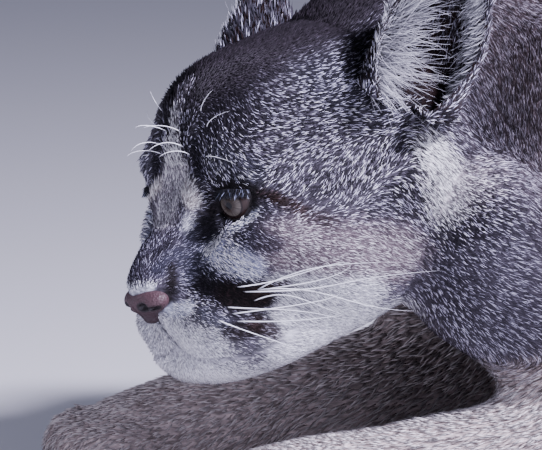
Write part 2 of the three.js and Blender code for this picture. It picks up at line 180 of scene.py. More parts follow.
def ellipsoid_depth(p, centre, radii, tilt=0):
    """About the distance to an ellipsoid: k0 (k0 - 1) / k1, with k0 and k1 the lengths of p over its
    radii once and twice. The tilt turns it nose down about Y."""
    q, radii = p - np.array(centre, float), np.array(radii, float)
    c, s = np.cos(np.radians(tilt)), np.sin(np.radians(tilt))
    q = np.stack([q[..., 0] * c - q[..., 2] * s, q[..., 1], q[..., 0] * s + q[..., 2] * c], -1) / radii
    k0 = np.linalg.norm(q, axis=-1)
    return k0 * (k0 - 1) / np.maximum(np.linalg.norm(q / radii, axis=-1), 1e-9)


def soft_min(a, b, k):
    """The lower of two depths, rounded over a width k where they cross."""
    h = np.clip(0.5 + 0.5 * (b - a) / k, 0, 1)
    return b * (1 - h) + a * h - k * h * (1 - h)


def cut(d, hole, k):
    """A depth with a hole taken out of it, its edge rounded over a width k."""
    return -soft_min(-d, hole, k)


def mouth_height(x, y):
    """The height of the line between the lips: down from the front, up to the corner, and up again
    by 5 mm under the nose."""
    return np.interp(x, [-12, 2, 18, 34, 60], [-66, -71, -73, -71, -68]) + 5 * np.exp(-(y / 8) ** 2)


def coat_depth(p):
    """How deep the fur is over the skin, millimetres: all of HEAD_COAT 22 mm away from a ball of 15 mm
    about the eye and one of 11 mm about the nose, and less in proportion nearer to them."""
    from_eye = np.linalg.norm(p - EYE_CENTRE, axis=-1) - 15
    from_nose = np.linalg.norm(p - NOSE_TIP, axis=-1) - 11
    return HEAD_COAT * np.clip(np.minimum(from_eye, from_nose) / 22, 0.12, 1)


def lid_gap(v):
    """How far a point is outside the opening between the lids, millimetres across the line of sight:
    the part of an ellipse of 12.8 by 13.0 mm that lies under a nearly level upper lid."""
    a, b = v @ LID_ACROSS, v @ LID_UP
    bowl = (np.hypot((a + 1.8) / 12.8, (b - 4.2) / 13.0) - 1) * 9
    return -soft_min(-bowl, -(b - 4.4 + 0.012 * a * a), 2.5)


def head_depth(p):
    """The signed depth of the head's skin, negative inside: the masses run together and the hollows
    taken out, a lid's thickness over each eye, less the coat. The mouth's line is then cut 7 mm deep,
    the groove under the nose 2 mm, and the lids' openings down to the balls, which fill them."""
    q = np.stack([p[..., 0], np.sqrt(p[..., 1] ** 2 + 4), p[..., 2]], -1)
    x, y, z = q[..., 0], q[..., 1], q[..., 2]
    d = None
    for centre, radii, tilt, blend in HEAD_MASSES.values():
        e = ellipsoid_depth(q, centre, radii, tilt)
        d = e if d is None else soft_min(d, e, blend)
    for centre, radii, blend in HEAD_HOLLOWS.values():
        d = cut(d, ellipsoid_depth(q, centre, radii), blend)
    v = q - EYE_CENTRE
    d = soft_min(d, np.linalg.norm(v + [1, 0, 0], axis=-1) - EYE_RADIUS - 2.0, 4) + coat_depth(q)
    lips = np.maximum(np.abs(z - mouth_height(x, y)) - 0.7, -12 - x)
    d = cut(d, np.maximum(lips, -7 - d), 1.6)
    groove = np.maximum(y - 2.6, np.maximum(26 - x, np.abs(z + 58) - 13))
    d = cut(d, np.maximum(groove, -2.0 - d), 1.6)
    d = cut(d, np.maximum(lid_gap(v), -(v @ GAZE)), 1.0)
    return cut(d, np.linalg.norm(v, axis=-1) - EYE_RADIUS + 0.3, 0.6)


def closed_grid(points):
    """Vertices and faces of a closed surface from a grid of rings: each ring joins the next, and a
    fan of triangles closes each end about its middle."""
    rings, around = points.shape[:2]
    index = np.arange(rings * around).reshape(rings, around)
    a, b = index[:-1], index[1:]
    quads = np.stack([a, np.roll(a, -1, 1), np.roll(b, -1, 1), b], -1).reshape(-1, 4)
    verts = np.concatenate([points.reshape(-1, 3), [points[0].mean(0)], [points[-1].mean(0)]])
    n = rings * around
    start = np.stack([index[0], np.full(around, n), np.roll(index[0], -1)], -1)
    end = np.stack([index[-1], np.roll(index[-1], -1), np.full(around, n + 1)], -1)
    return verts, quads, np.concatenate([start, end])


def around_once(count):
    """Angles in radians, evenly once around."""
    return np.arange(count) / count * 2 * np.pi


def head_rings(rings, around, depth_of):
    """Rays leave a line inside the head, fanned round its front end, square to it between and fanned
    round its back end; each is walked inwards from 190 mm out until it meets the surface."""
    front, rear, fan = np.array([18, 0, -50.0]), np.array([-80, 0, -20.0]), 0.30
    along = (front - rear) / np.linalg.norm(front - rear)
    sideways = np.array([0, 1.0, 0])
    upward = np.cross(along, sideways)
    u = np.linspace(0.012, 0.988, rings)[:, None]
    v = around_once(around)[None, :]
    t = np.clip((u - fan) / (1 - 2 * fan), 0, 1)
    opened = np.where(u < fan, u / fan, np.where(u > 1 - fan, 1 + (u - 1 + fan) / fan, 1)) * np.pi / 2
    start = (front + (rear - front) * t[..., None]) + 0 * v[..., None]
    ray = spread_from(along, upward, sideways, opened, v)
    reach = np.full(ray.shape[:2], 190.0)
    for k in range(60):
        d = np.clip(depth_of(start + ray * reach[..., None]), -4, 30)
        reach = np.maximum(reach - d * (0.8 if k < 40 else 0.5), 1)
    return start + ray * reach[..., None]


def mesh_object(name, verts, *faces):
    """A mesh object of the given vertices in metres and face arrays, with smooth shading."""
    mesh = bpy.data.meshes.new(name)
    corners = np.concatenate([f.ravel() for f in faces]).astype(np.int32)
    sizes = np.concatenate([np.full(len(f), f.shape[1]) for f in faces]).astype(np.int32)
    mesh.vertices.add(len(verts))
    mesh.vertices.foreach_set("co", np.asarray(verts, np.float32).ravel())
    mesh.loops.add(len(corners))
    mesh.loops.foreach_set("vertex_index", corners)
    mesh.polygons.add(len(sizes))
    mesh.polygons.foreach_set("loop_start", np.concatenate([[0], np.cumsum(sizes)[:-1]]).astype(np.int32))
    mesh.update(calc_edges=True)
    mesh.polygons.foreach_set("use_smooth", np.ones(len(sizes), bool))
    made = bpy.data.objects.new(name, mesh)
    bpy.context.collection.objects.link(made)
    return made


def head_piece(name, verts, *faces):
    """A mesh object of vertices in the head's millimetres."""
    return mesh_object(name, head_to_world(verts), *faces)


EAR_BASE, EAR_AXIS, EAR_OPENS = np.array([-90, 63, 22.0]), (-0.45, 0.38, 0.82), (0.72, 0.62, -0.1)
EAR_HEIGHT, EAR_WIDTH, EAR_WALL, EAR_LEAN = 84.0, 25.0, 4.0, 10


def ear_frame(side):
    """Base, axis, opening direction and the direction across, of the ear on side +1 or -1."""
    flip = np.array([1, side, 1])
    axis = np.array(EAR_AXIS) * flip / np.linalg.norm(EAR_AXIS)
    opens = np.array(EAR_OPENS) * flip
    opens = opens - axis * (opens @ axis)
    opens /= np.linalg.norm(opens)
    return EAR_BASE * flip, axis, opens, np.cross(axis, opens)


def ear_roll(s):
    """How far round the back of the cup its edge comes at height share s: from 150 degrees at the root
    to 62 from two thirds up."""
    return np.radians(150 + (62 - 150) * np.minimum(1, s * 1.5))


def ear_radius(s):
    """The cup's radius at height share s: a little wider upwards, and round at the tip."""
    return EAR_WIDTH * (1 + 0.15 * s) * np.sqrt(np.maximum(0.004, 1 - s ** 3.2))


def ear_point(side, s, angle, inner):
    """A point of the ear's cup at height share s and roll angle, on the outer or inner wall."""
    base, axis, opens, across = ear_frame(side)
    rim = np.abs(angle) / ear_roll(s)
    wall = EAR_WALL * (1 - 0.45 * s) * np.sqrt(np.clip(1.02 - rim ** 6, 0.05, 1))
    radius = ear_radius(s) - np.where(inner, wall, 0)
    return (base + axis * (EAR_HEIGHT * s)[..., None]
            + opens * (EAR_LEAN * s * s - radius * np.cos(angle))[..., None]
            + across * (radius * np.sin(angle))[..., None])


def ear_rings(side, rings=44, arc=30):
    """Rings from the ear's root to its tip: out along the back of the cup, and back along its inside."""
    s = np.linspace(0, 1, rings)[:, None] + np.zeros((1, 2 * arc))
    share = np.concatenate([np.linspace(-1, 1, arc), np.linspace(1, -1, arc)])[None, :]
    inner = (np.arange(2 * arc) >= arc)[None, :] + np.zeros((rings, 1), bool)
    return ear_point(side, s, ear_roll(s) * share, inner)[:, ::-1]


shells = [head_piece("head_shell", *closed_grid(head_rings(170, 190, head_depth)))]
shells += [head_piece("ear_shell", *closed_grid(ear_rings(side))) for side in (1, -1)]

# Body form.
# Neck, trunk, legs and tail as one hide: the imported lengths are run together, smoothed where they
# meet, less so on the toes, and drawn in by the depth of the fur. The head and ears are then joined on.
BODY_NODES = [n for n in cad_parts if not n.startswith(("head", "jaw", "nose", "eye", "ear"))]
PAW_NODES = [n for n in BODY_NODES if "paw" in n or "foot" in n]
HIDE_GRAIN, BODY_COAT, OVER_FLOOR = 0.005, 0.0035, 0.0008
PLUG_INSIDE, SMOOTHING = 2.0, 18


def off_paw(co, node):
    """How far places are outside a ball about a paw: its radius is 0.55 of the paw's length."""
    box = np.array(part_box(node))
    return np.linalg.norm(co - box.mean(0), axis=1) - 0.55 * np.ptp(box, axis=0)[0]


def vertex_values(mesh, kind):
    """The places ("co") or the normals ("normal") of a mesh's vertices, in rows of three."""
    values = np.empty(len(mesh.vertices) * 3, np.float32)
    mesh.vertices.foreach_get(kind, values)
    return values.reshape(-1, 3).astype(float)


def place_vertices(mesh, co):
    """Moves a mesh's vertices to new places."""
    mesh.vertices.foreach_set("co", np.asarray(co, np.float32).ravel())
    mesh.update()


def triangles_of(mesh):
    """The vertices of a mesh's triangles, in rows of three."""
    mesh.calc_loop_triangles()
    corners = np.empty(len(mesh.loop_triangles) * 3, np.int32)
    mesh.loop_triangles.foreach_get("vertices", corners)
    return corners.reshape(-1, 3)


def smoothed(mesh, rounds, weight):
    """The vertices' places after rounds in which each moves towards the middle of its neighbours, by
    its own weight."""
    co = vertex_values(mesh, "co")
    ends = np.empty(len(mesh.edges) * 2, np.int32)
    mesh.edges.foreach_get("vertices", ends)
    a, b = ends.reshape(-1, 2).T
    count = np.maximum(np.bincount(ends, minlength=len(co)), 1)[:, None]
    for _ in range(rounds):
        total = [np.bincount(a, co[b, k], len(co)) + np.bincount(b, co[a, k], len(co)) for k in range(3)]
        co += (np.stack(total, 1) / count - co) * weight[:, None]
    return co


def settle(made):
    """Turns a mesh object's modifiers into its mesh, and gives that mesh."""
    bpy.context.view_layer.update()
    mesh = bpy.data.meshes.new_from_object(made.evaluated_get(bpy.context.evaluated_depsgraph_get()))
    made.modifiers.clear()
    made.data = mesh
    return mesh


places, faces, offset = [], [], 0
for node in BODY_NODES:
    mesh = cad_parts[node].data
    places.append(vertex_values(mesh, "co"))
    faces.append(triangles_of(mesh) + offset)
    offset += len(mesh.vertices)
plug, plug_quads, plug_ends = closed_grid(head_rings(40, 44, lambda p: head_depth(p) + PLUG_INSIDE))
hide = mesh_object("skin", np.concatenate(places + [head_to_world(plug)]), plug_quads + offset,
                   np.concatenate(faces + [plug_ends + offset]))
rebuild = hide.modifiers.new("rebuild", "REMESH")
rebuild.mode = "VOXEL"
rebuild.voxel_size = HIDE_GRAIN
settle(hide)
co = vertex_values(hide.data, "co")
off_paws = np.min([off_paw(co, node) for node in PAW_NODES], 0)
place_vertices(hide.data, smoothed(hide.data, SMOOTHING, 0.5 - 0.42 * np.clip(-off_paws / 0.02, 0, 1)))
drawn_in = BODY_COAT * np.clip(1 + off_paws / 0.03, 0.4, 1)
co = vertex_values(hide.data, "co") - vertex_values(hide.data, "normal") * drawn_in[:, None]
co[:, 2] = np.maximum(co[:, 2], OVER_FLOOR)
place_vertices(hide.data, co)
for shell in shells:
    join = hide.modifiers.new("join", "BOOLEAN")
    join.operation = "UNION"
    join.solver = "MANIFOLD"
    join.object = shell
whole = settle(hide)
for shell in shells:
    bpy.data.objects.remove(shell)
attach(hide, "root")
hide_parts(*BODY_NODES, "head", "jaw", "ear_left", "ear_right")
whole.polygons.foreach_set("use_smooth", np.ones(len(whole.polygons), bool))

# Coat colours.
# A ticked coat: grey-brown hairs with pale tips over dark roots, white lips, chin and throat, black
# whisker beds and lid corners, a pale ruff below the ear, tawny flanks and a dark tail tip.
GREY, TAWNY, BELLY = (0.118, 0.104, 0.132), (0.215, 0.145, 0.100), (0.44, 0.36, 0.30)
BACK, NECK_SHADE, LEG = (0.096, 0.0768, 0.0896), (0.066, 0.050, 0.060), (0.40, 0.33, 0.31)
TAIL_TIP = (0.035, 0.0196, 0.0168)
EAR_CUP_SHADE, EAR_BACK = (0.014, 0.007, 0.007), (0.085, 0.080, 0.100)
WHITE, BLACK, BROWN = (0.90, 0.89, 0.95), (0.016, 0.012, 0.014), (0.050, 0.028, 0.024)
BODY_MARKS = [  # what it is, colour, strength, and the ramps it rises along: axis, from, to; metres
    ("belly", BELLY, 0.55, [(2, 0.11, 0.02)]),
    ("back", BACK, 0.6, [(2, 0.22, 0.32)]),
    ("tail tip", TAIL_TIP, 1.0, [(0, 0.12, 0.06), (1, -0.20, -0.22)]),
    # painted shade: the neck, chest and shoulders darken towards the front, where they lie in shade under the
    # head
    ("neck and shoulders", NECK_SHADE, 0.88, [(0, 0.15, -0.25)]),
    # the forelegs' own paler tawny, lightened further as painted sunlight
    ("foreleg", LEG, 0.8, [(2, 0.125, 0.065), (0, -0.14, -0.30)]),
]
HEAD_MARKS = [  # what it is, from, to, width, colour, strength; millimetres in the head's frame
    # painted shade: the side of the throat below the jaw is darkened, as it lies in shade
    ("throat side", (-98, 58, -72), (-140, 50, -80), 25, (0.080, 0.062, 0.072), 0.85),
    # painted shade: the crown is darkened near to black, as the top of the head lies in shade
    ("crown", (-30, 0, 62), (-120, 0, 66), 38, (0.012, 0.008, 0.011), 0.93),
    ("crown side", (-60, 46, 42), (-84, 60, 34), 14, (0.060, 0.060, 0.085), 0.6),
    ("temple", (-64, 62, 1), (-46, 64, -7), 11, (0.22, 0.20, 0.24), 0.3),
    ("tan cheek", (-6, 58, -25), (-58, 74, -44), 13, (0.36, 0.28, 0.31), 0.9),
    ("ruff", (-95, 74, -4), (-89, 79, -26), 10, (0.86, 0.80, 0.82), 0.9),
    ("ruff side", (-106, 76, -34), (-152, 60, -54), 17, (0.50, 0.43, 0.46), 0.75),
    ("white cheek", (-4, 48, -50), (-40, 62, -58), 10, WHITE, 0.95),
    ("chin", (26, 0, -80), (-10, 0, -88), 28, WHITE, 0.95),
    ("jaw", (-10, 40, -72), (-56, 48, -82), 15, WHITE, 1.0),
    ("throat", (-30, 0, -88), (-120, 0, -70), 36, (0.55, 0.52, 0.55), 0.9),
    # painted shade: the next two marks darken the side of the muzzle below the eye, which lies in shade
    ("muzzle side", (14, 16, -13), (21, 20, -26), 8, (0.050, 0.050, 0.080), 0.8),
    ("muzzle", (23, 15, -30), (14, 30, -36), 8, (0.065, 0.065, 0.095), 0.65),
    ("nose bridge", (18, 0, 0), (44, 0, -22), 11, (0.070, 0.062, 0.088), 0.8),
    # painted shade: a dark blue-grey patch beside the nose
    ("nose side", (37, 10, -25), (27, 12, -20), 3.6, (0.045, 0.046, 0.075), 0.75),
    ("below the eye", (13, 26, -20), (8, 43, -31), 7, (0.50, 0.53, 0.72), 0.8),
    ("brow hair", (3, 29, 21), (-5, 44, 13), 7, (0.20, 0.20, 0.26), 0.5),
    ("forehead", (-12, 0, 49), (-4, 0, 41), 5, (0.34, 0.30, 0.34), 0.6),
    ("brow ridge", (-3, 0, 39), (4, 0, 26), 5.0, (0.44, 0.39, 0.44), 0.8),
    ("brow ridge low", (4, 1, 26), (9, 6, 12), 4.6, (0.50, 0.43, 0.47), 0.85),
    # painted light: the root of the nose is painted paler, as if lit, where it faces away from the key lamp
    ("nose root", (10, 3, 10), (22, 2, -2), 7, (0.44, 0.39, 0.44), 0.85),
    ("brow patch", (0, 15, 28), (6, 18, 15), 4.2, (0.016, 0.014, 0.024), 0.9),
    ("inner corner", (12, 13, 8), (14, 17, 4), 4.0, (0.85, 0.77, 0.73), 1.0),
    ("corner fold", (16, 15, -4), (18, 13, -9), 2.2, (0.72, 0.72, 0.80), 0.9),
    # painted shade: the crease under the overhanging brow is painted black
    ("lid crease", (8, 22, 4.5), (3, 34, 6.5), 1.9, BLACK, 0.95),
    ("lid crease end", (3, 34, 6.5), (-4, 43, 3), 1.9, BLACK, 0.9),
    ("behind the eye", (-2, 44, -6), (4, 38, -12), 2.0, (0.80, 0.84, 1.0), 0.9),
    ("lower lid", (3, 38, -11), (7, 34, -15), 2.8, (0.60, 0.62, 0.78), 0.9),
    ("cheek ticks", (6, 43, -17), (-1, 53, -22), 5, (0.050, 0.045, 0.065), 0.75),
    ("eye streak", (-4, 43, 3), (-11, 51, -2), 2.3, (0.030, 0.016, 0.016), 0.95),
    ("eye streak mid", (-11, 51, -2), (-17, 60, -10), 2.8, BROWN, 0.9),
    ("eye streak end", (-17, 60, -10), (-28, 69, -20), 3.4, BROWN, 0.6),
    ("tear mark", (6, 20, -3), (9, 18, -9), 4.0, BLACK, 1.0),
    ("tear mark low", (9, 18, -9), (11, 16, -16), 3.6, (0.016, 0.014, 0.020), 0.9),
    ("whisker bed", (21, 22, -37), (14, 33, -44), 5.5, (0.020, 0.016, 0.022), 0.95),
    ("whisker bed mid", (14, 33, -43), (2, 40, -48), 7.5, (0.016, 0.009, 0.010), 1.0),
    ("whisker bed end", (2, 40, -45), (-9, 47, -44), 3.6, BROWN, 0.9),
    ("front lip", (37, 6, -56), (24, 24, -62), 8, (0.80, 0.80, 0.86), 0.8),
    ("upper lip", (37, 12, -45), (31, 19, -45.5), 3.2, (0.80, 0.84, 1.0), 1.0),
    ("lip ticks", (27, 26, -50), (22, 32, -56), 4, (0.16, 0.17, 0.22), 0.6),
    ("lip side", (22, 34, -60), (10, 37, -62), 4, (0.035, 0.024, 0.024), 0.85),
    ("mouth corner", (8, 38, -60), (2, 41, -66), 4.6, (0.040, 0.022, 0.020), 0.9),
    ("nose wing", (31, 13, -25), (34, 14, -32), 2.4, BLACK, 0.95),
    ("nose wing low", (34, 14, -32), (39, 13, -41), 2.4, BLACK, 0.95),
    # painted shade in the fold beside the nose
    ("nose fold", (36, 7, -18), (26, 10, -14), 1.7, (0.016, 0.014, 0.022), 0.85),
    # pale hair along the nose's top edge, painted near white as a highlight
    ("nose edge", (48, 0, -32), (43, 9, -31.5), 2.0, (0.90, 0.92, 1.0), 1.0),
]
FEWER_PALE = {  # bars with fewer pale tips: from, to, width
    "nose": ((5, 0, 0), (50, 0, -34), 18),
    "cheek": ((-6, 58, -28), (-58, 74, -50), 20),
    # painted shade: fewer pale tips on the crown, which lies in shade
    "crown": ((-34, 0, 64), (-120, 0, 66), 34),
    "chin": ((26, 0, -80), (-56, 40, -82), 30),
    "ruff": ((-110, 76, -36), (-152, 60, -54), 17),
}


def steps(x, low, high):
    """Rises smoothly from 0 at low to 1 at high, which may lie below it: t squared times 3 - 2t."""
    t = np.clip((x - low) / (high - low), 0, 1)
    return t * t * (3 - 2 * t)


def bar_mask(p, start, end, width):
    """One up to 0.6 widths from a line between two points, and nothing from 1.6 widths on."""
    start, end = np.array(start, float), np.array(end, float)
    line = end - start
    t = np.clip((p - start) @ line / (line @ line), 0, 1)
    away = np.linalg.norm(p - start - t[..., None] * line, axis=-1) / width
    return steps(away, 1.6, 0.6)


def folded(p):
    """Points of the head's frame, those on its right mirrored to its left."""
    return p * [1, 0, 1] + np.abs(p) * [0, 1, 0]


def in_ear(h):
    """For points in the head's frame: the share of the way up the ear, nought to one, and whether they
    lie inside its cup."""
    base, axis, opens, across = ear_frame(1)
    v = folded(h) - base
    s = (v @ axis) / EAR_HEIGHT
    share = np.clip(s, 0, 1)
    radius = np.hypot(v @ opens - EAR_LEAN * share ** 2, v @ across)
    near = (s > 0.02) & (s < 1.1) & (radius < ear_radius(share) + 6)
    return np.where(near, share, 0), near & (radius < ear_radius(share) - 1.6)


def over_paws(h):
    """One for points in the head's frame at its own height, and nothing down on the forelegs."""
    return steps(h[:, 2], -116, -104)


def head_zone(h, low=-150, high=-95):
    """One on the head, for points in its frame, and nothing behind the neck or down on the forelegs."""
    return steps(h[:, 0], low, high) * over_paws(h)


def tinted(colour, shade, share):
    """Colours with a shade mixed in, by a share of it for each of them."""
    return colour + (np.array(shade) - colour) * share[..., None]


def coat_colour(p):
    """The coat's colour, and how white its tips are, at points in metres on the skin."""
    h = world_to_head(p)
    ear_share, ear_inside = in_ear(h)
    # painted shade: the right side, turned from the lamps, gets fewer pale tips
    far = steps(h[:, 1], -4, -16)
    h = folded(h)
    colour = np.zeros((len(p), 3)) + TAWNY
    for _, shade, strength, ramps in BODY_MARKS:
        share = np.prod([steps(p[:, axis], low, high) for axis, low, high in ramps], 0)
        colour = tinted(colour, shade, strength * share)
    colour = tinted(colour, GREY, head_zone(h))
    above = over_paws(h)
    for _, start, end, width, shade, strength in HEAD_MARKS:
        colour = tinted(colour, shade, bar_mask(h, start, end, width) * strength * above)
    # painted shade: the inside of the ear's cup is painted near black, as the hollow lies in shade
    colour[ear_inside] = EAR_CUP_SHADE
    colour = tinted(colour, EAR_BACK, 0.85 * steps(ear_share, 0.12, 0.3) * ~ear_inside)
    colour = tinted(colour, BLACK, steps(np.linalg.norm(h - EYE_CENTRE, axis=1) - EYE_RADIUS, 3.4, 2.0))
    nose, cheek, crown, chin, ruff = (bar_mask(h, *bar) for bar in FEWER_PALE.values())
    on_head = head_zone(h, -130, -90) * (1 - 0.7 * steps(h[:, 0], -62, -88) * steps(h[:, 2], -36, -58))
    frost = on_head * (1 - 0.40 * nose) * (1 - 0.40 * cheek) * (1 - 0.5 * crown)
    frost += (0.14 + 0.30 * steps(p[:, 0], 0.15, -0.25)) * (1 - on_head)
    # painted shade: fewer pale tips on the right side
    frost *= (1 - 0.55 * np.maximum(chin, ruff)) * (1 - 0.35 * far)
    return np.clip(colour, 0.004, 1), np.where(ear_inside, 0.2, frost)


# Lie of the coat.
# Hair grows back from the nose over the brow and round the ear, down the cheek and throat, along
# the trunk and tail, and down each leg to the toes.
HEAD_LIE = [  # place and direction in the head's frame, for both sides
    ((50, 0, -28), (-0.8, 0, 0.6)), ((30, 0, -10), (-0.8, 0.0, 0.6)), ((12, 0, 8), (-0.6, 0, 0.8)),
    ((6, 0, 26), (-0.45, 0, 0.9)), ((-3, 0, 42), (-0.7, 0, 0.7)), ((-30, 0, 62), (-1, 0, 0.2)),
    ((-18, 12, 56), (-0.7, 0.6, 0.1)), ((-30, 23, 57), (-0.6, 0.7, -0.4)),
    ((-33, 33, 51), (-0.3, 0.75, -0.6)), ((-15, 33, 41), (-0.06, 0.65, -0.76)),
    ((-7, 27, 37), (0.06, 0.56, -0.82)), ((3, 22, 26), (0.18, 0.69, -0.70)),
    ((2, 36, 17), (-0.16, 0.42, -0.89)), ((-9, 45, 18), (-0.50, 0.45, -0.74)),
    ((-23, 43, 31), (-0.74, 0.47, -0.49)), ((-29, 46, 24), (-0.98, 0.15, -0.14)),
    ((-29, 48, 16), (-0.99, 0.01, 0.11)), ((-13, 48, 8), (-0.80, 0.24, 0.55)),
    ((-25, 54, 2), (-0.85, -0.22, 0.48)), ((-45, 44, 42), (-0.79, 0.45, -0.41)),
    ((-63, 51, 36), (-0.92, 0.38, -0.06)), ((-79, 57, 38), (-0.97, 0.02, 0.23)),
    ((-73, 61, 29), (-0.79, 0.49, 0.36)), ((-53, 51, 24), (-0.94, 0.27, -0.20)),
    ((-68, 57, 21), (-0.77, 0.52, -0.37)), ((-81, 67, 21), (-0.88, 0.40, 0.26)),
    ((-48, 52, 11), (-0.96, 0.12, 0.26)), ((-57, 59, 3), (-0.86, -0.06, 0.50)),
    ((-72, 67, 1), (-0.85, -0.13, 0.52)), ((-43, 64, -7), (-0.81, -0.35, 0.48)),
    ((-18, 59, -8), (-0.94, 0.30, 0.14)), ((-6, 51, -9), (-0.46, 0.75, -0.47)),
    ((3, 47, -17), (-0.36, 0.71, -0.60)), ((14, 34, -24), (-0.30, 0.69, -0.66)),
    ((19, 29, -33), (-0.27, 0.79, -0.55)), ((-25, 69, -25), (-0.84, 0.35, -0.43)),
    ((-11, 59, -34), (-0.77, 0.46, -0.44)), ((-51, 75, -28), (-0.71, 0.20, -0.67)),
    ((-74, 77, -17), (-0.25, 0.28, -0.93)), ((-92, 76, -12), (-0.12, 0.34, -0.93)),
    ((-90, 71, -2), (-0.17, 0.53, -0.83)), ((-13, 46, -60), (-0.67, 0.38, -0.63)),
    ((-30, 66, -49), (-0.84, 0.33, -0.43)), ((20, 22, -18), (-0.7, 0.5, 0.2)),
    ((-20, 40, -76), (-0.95, 0.1, -0.2)), ((10, 0, -90), (-0.9, 0, -0.3)),
    ((-70, 40, -80), (-0.95, 0, -0.1)), ((34, 20, -48), (-0.5, 0.7, -0.6)), ((-60, 0, 68), (-1, 0, 0)),
    ((-100, 0, 62), (-1, 0, -0.1)), ((-120, 62, 0), (-0.5, 0.1, -0.85)), ((-130, 0, 56), (-1, 0, 0)),
]
MIRROR, CHUNK, HEAD_SOFT, BODY_SOFT = np.array([1, -1, 1]), 20000, 6.0, 0.01
HEAD_STATION = np.array([-0.235, -0.065, 0.175])
BODY_LINES = [  # trunk, neck and tail, in metres before the part is centred; the coat lies first to last
    [(-0.10, 0, 0.22), (0.03, 0, 0.172), (0.28, 0, 0.147), (0.52, 0, 0.138), (0.70, 0, 0.150)],
    [(-0.15, -0.038, 0.204), (-0.09, -0.022, 0.222), (-0.02, -0.006, 0.226), (0.06, 0, 0.208)],
    [(0.70, 0, 0.168), (0.765, -0.008, 0.112), (0.818, -0.066, 0.052), (0.816, -0.166, 0.031),
     (0.742, -0.256, 0.029), (0.62, -0.30, 0.029), (0.49, -0.308, 0.028), (0.37, -0.296, 0.027)],
]
FORELEG = [(0.03, 0.09, 0.23), (0.02, 0.114, 0.11), (0.02, 0.12, 0.05), (-0.128, 0.108, 0.035),
           (-0.27, 0.101, 0.02)]
HIND_LEG = [(0.58, 0.10, 0.18), (0.45, 0.146, 0.09), (0.53, 0.158, 0.062), (0.62, 0.165, 0.04),
            (0.50, 0.183, 0.024), (0.40, 0.186, 0.02)]
for side, reach in ((-1, -0.030), (1, -0.005)):
    BODY_LINES.append([(x + reach, side * y, z) for x, y, z in FORELEG])
    BODY_LINES.append([(x, side * y, z) for x, y, z in HIND_LEG])


def unit(v):
    """Vectors divided by their lengths."""
    return v / np.maximum(np.linalg.norm(v, axis=-1, keepdims=True), 1e-9)


def both_sides(rows):
    """Rows of places with the same ones mirrored, in turn."""
    rows = np.array(rows, float)
    return np.stack([rows, rows * MIRROR], 1).reshape(-1, *rows.shape[1:])


def along(stations, step=0.03):
    """Points and unit directions every step metres along a broken line."""
    stations = np.array(stations, float) + (eyes - HEAD_STATION)
    places, ways = [], []
    for a, b in zip(stations[:-1], stations[1:]):
        n = max(1, int(np.linalg.norm(b - a) / step))
        for k in range(n):
            places.append(a + (b - a) * (k + 0.5) / n)
            ways.append(unit(b - a))
    return np.array(places), np.array(ways)


lines = [along(stations) for stations in BODY_LINES]
line_places = np.concatenate([places for places, _ in lines])
line_ways = np.concatenate([ways for _, ways in lines])
line_parts = np.concatenate([np.full(len(ways), number) for number, (_, ways) in enumerate(lines)])
line_shares = np.concatenate([(np.arange(len(ways)) + 0.5) / len(ways) for _, ways in lines])
head_lie = both_sides(HEAD_LIE)
head_places, head_ways = head_lie[:, 0], unit(head_lie[:, 1])


def weighted(p, places, ways, soft):
    """The mean of the ways, each weighted by 1 / (distance squared + soft squared) squared."""
    out = np.empty_like(p)
    for k in range(0, len(p), CHUNK):
        d2 = ((p[k:k + CHUNK, None] - places[None]) ** 2).sum(-1)
        w = 1 / (d2 + soft ** 2) ** 2
        out[k:k + CHUNK] = (w @ ways) / w.sum(1)[:, None]
    return out


def laid(way, normals):
    """Directions laid along the skin: each less its own share of the normal."""
    return unit(way - normals * (way * normals).sum(1)[:, None])


def lie_of(p, normals):
    """The direction of the coat at points in metres: the head's pairs on the head, up the ears on them,
    and the body's lines behind, turned down on the sides of the trunk and more so on the neck."""
    h = world_to_head(p)
    head_way = weighted(h, head_places, head_ways, HEAD_SOFT) @ HEAD_POSE.T
    body_way = weighted(p, line_places, line_ways, BODY_SOFT)
    neck_share = steps(p[:, 0], -0.22, -0.32) * steps(p[:, 2], 0.10, 0.16)
    body_way[:, 2] -= (0.25 + 1.3 * neck_share) * steps(np.abs(normals[:, 1]), 0.3, 0.9)
    share = head_zone(h, -150, -100)[:, None]
    way = head_way * share + body_way * (1 - share)
    up_ear = steps(in_ear(h)[0], 0.03, 0.16)[:, None]
    ear_way = np.where(h[:, 1:2] > 0, EAR_AXIS, EAR_AXIS * MIRROR)
    way += (ear_way @ HEAD_POSE.T - way) * up_ear
    return laid(way, normals)


DISC_MIDDLE, DISC_RADIUS, HEAD_MIDDLE = 0.25, 0.235, (-40, 0, -15)
STRIP_START, STRIP_LENGTH, STRIPS_FROM, STRIPS_HIGH, STRIP_FILL = 0.53, 0.44, 0.02, 0.96, 0.9


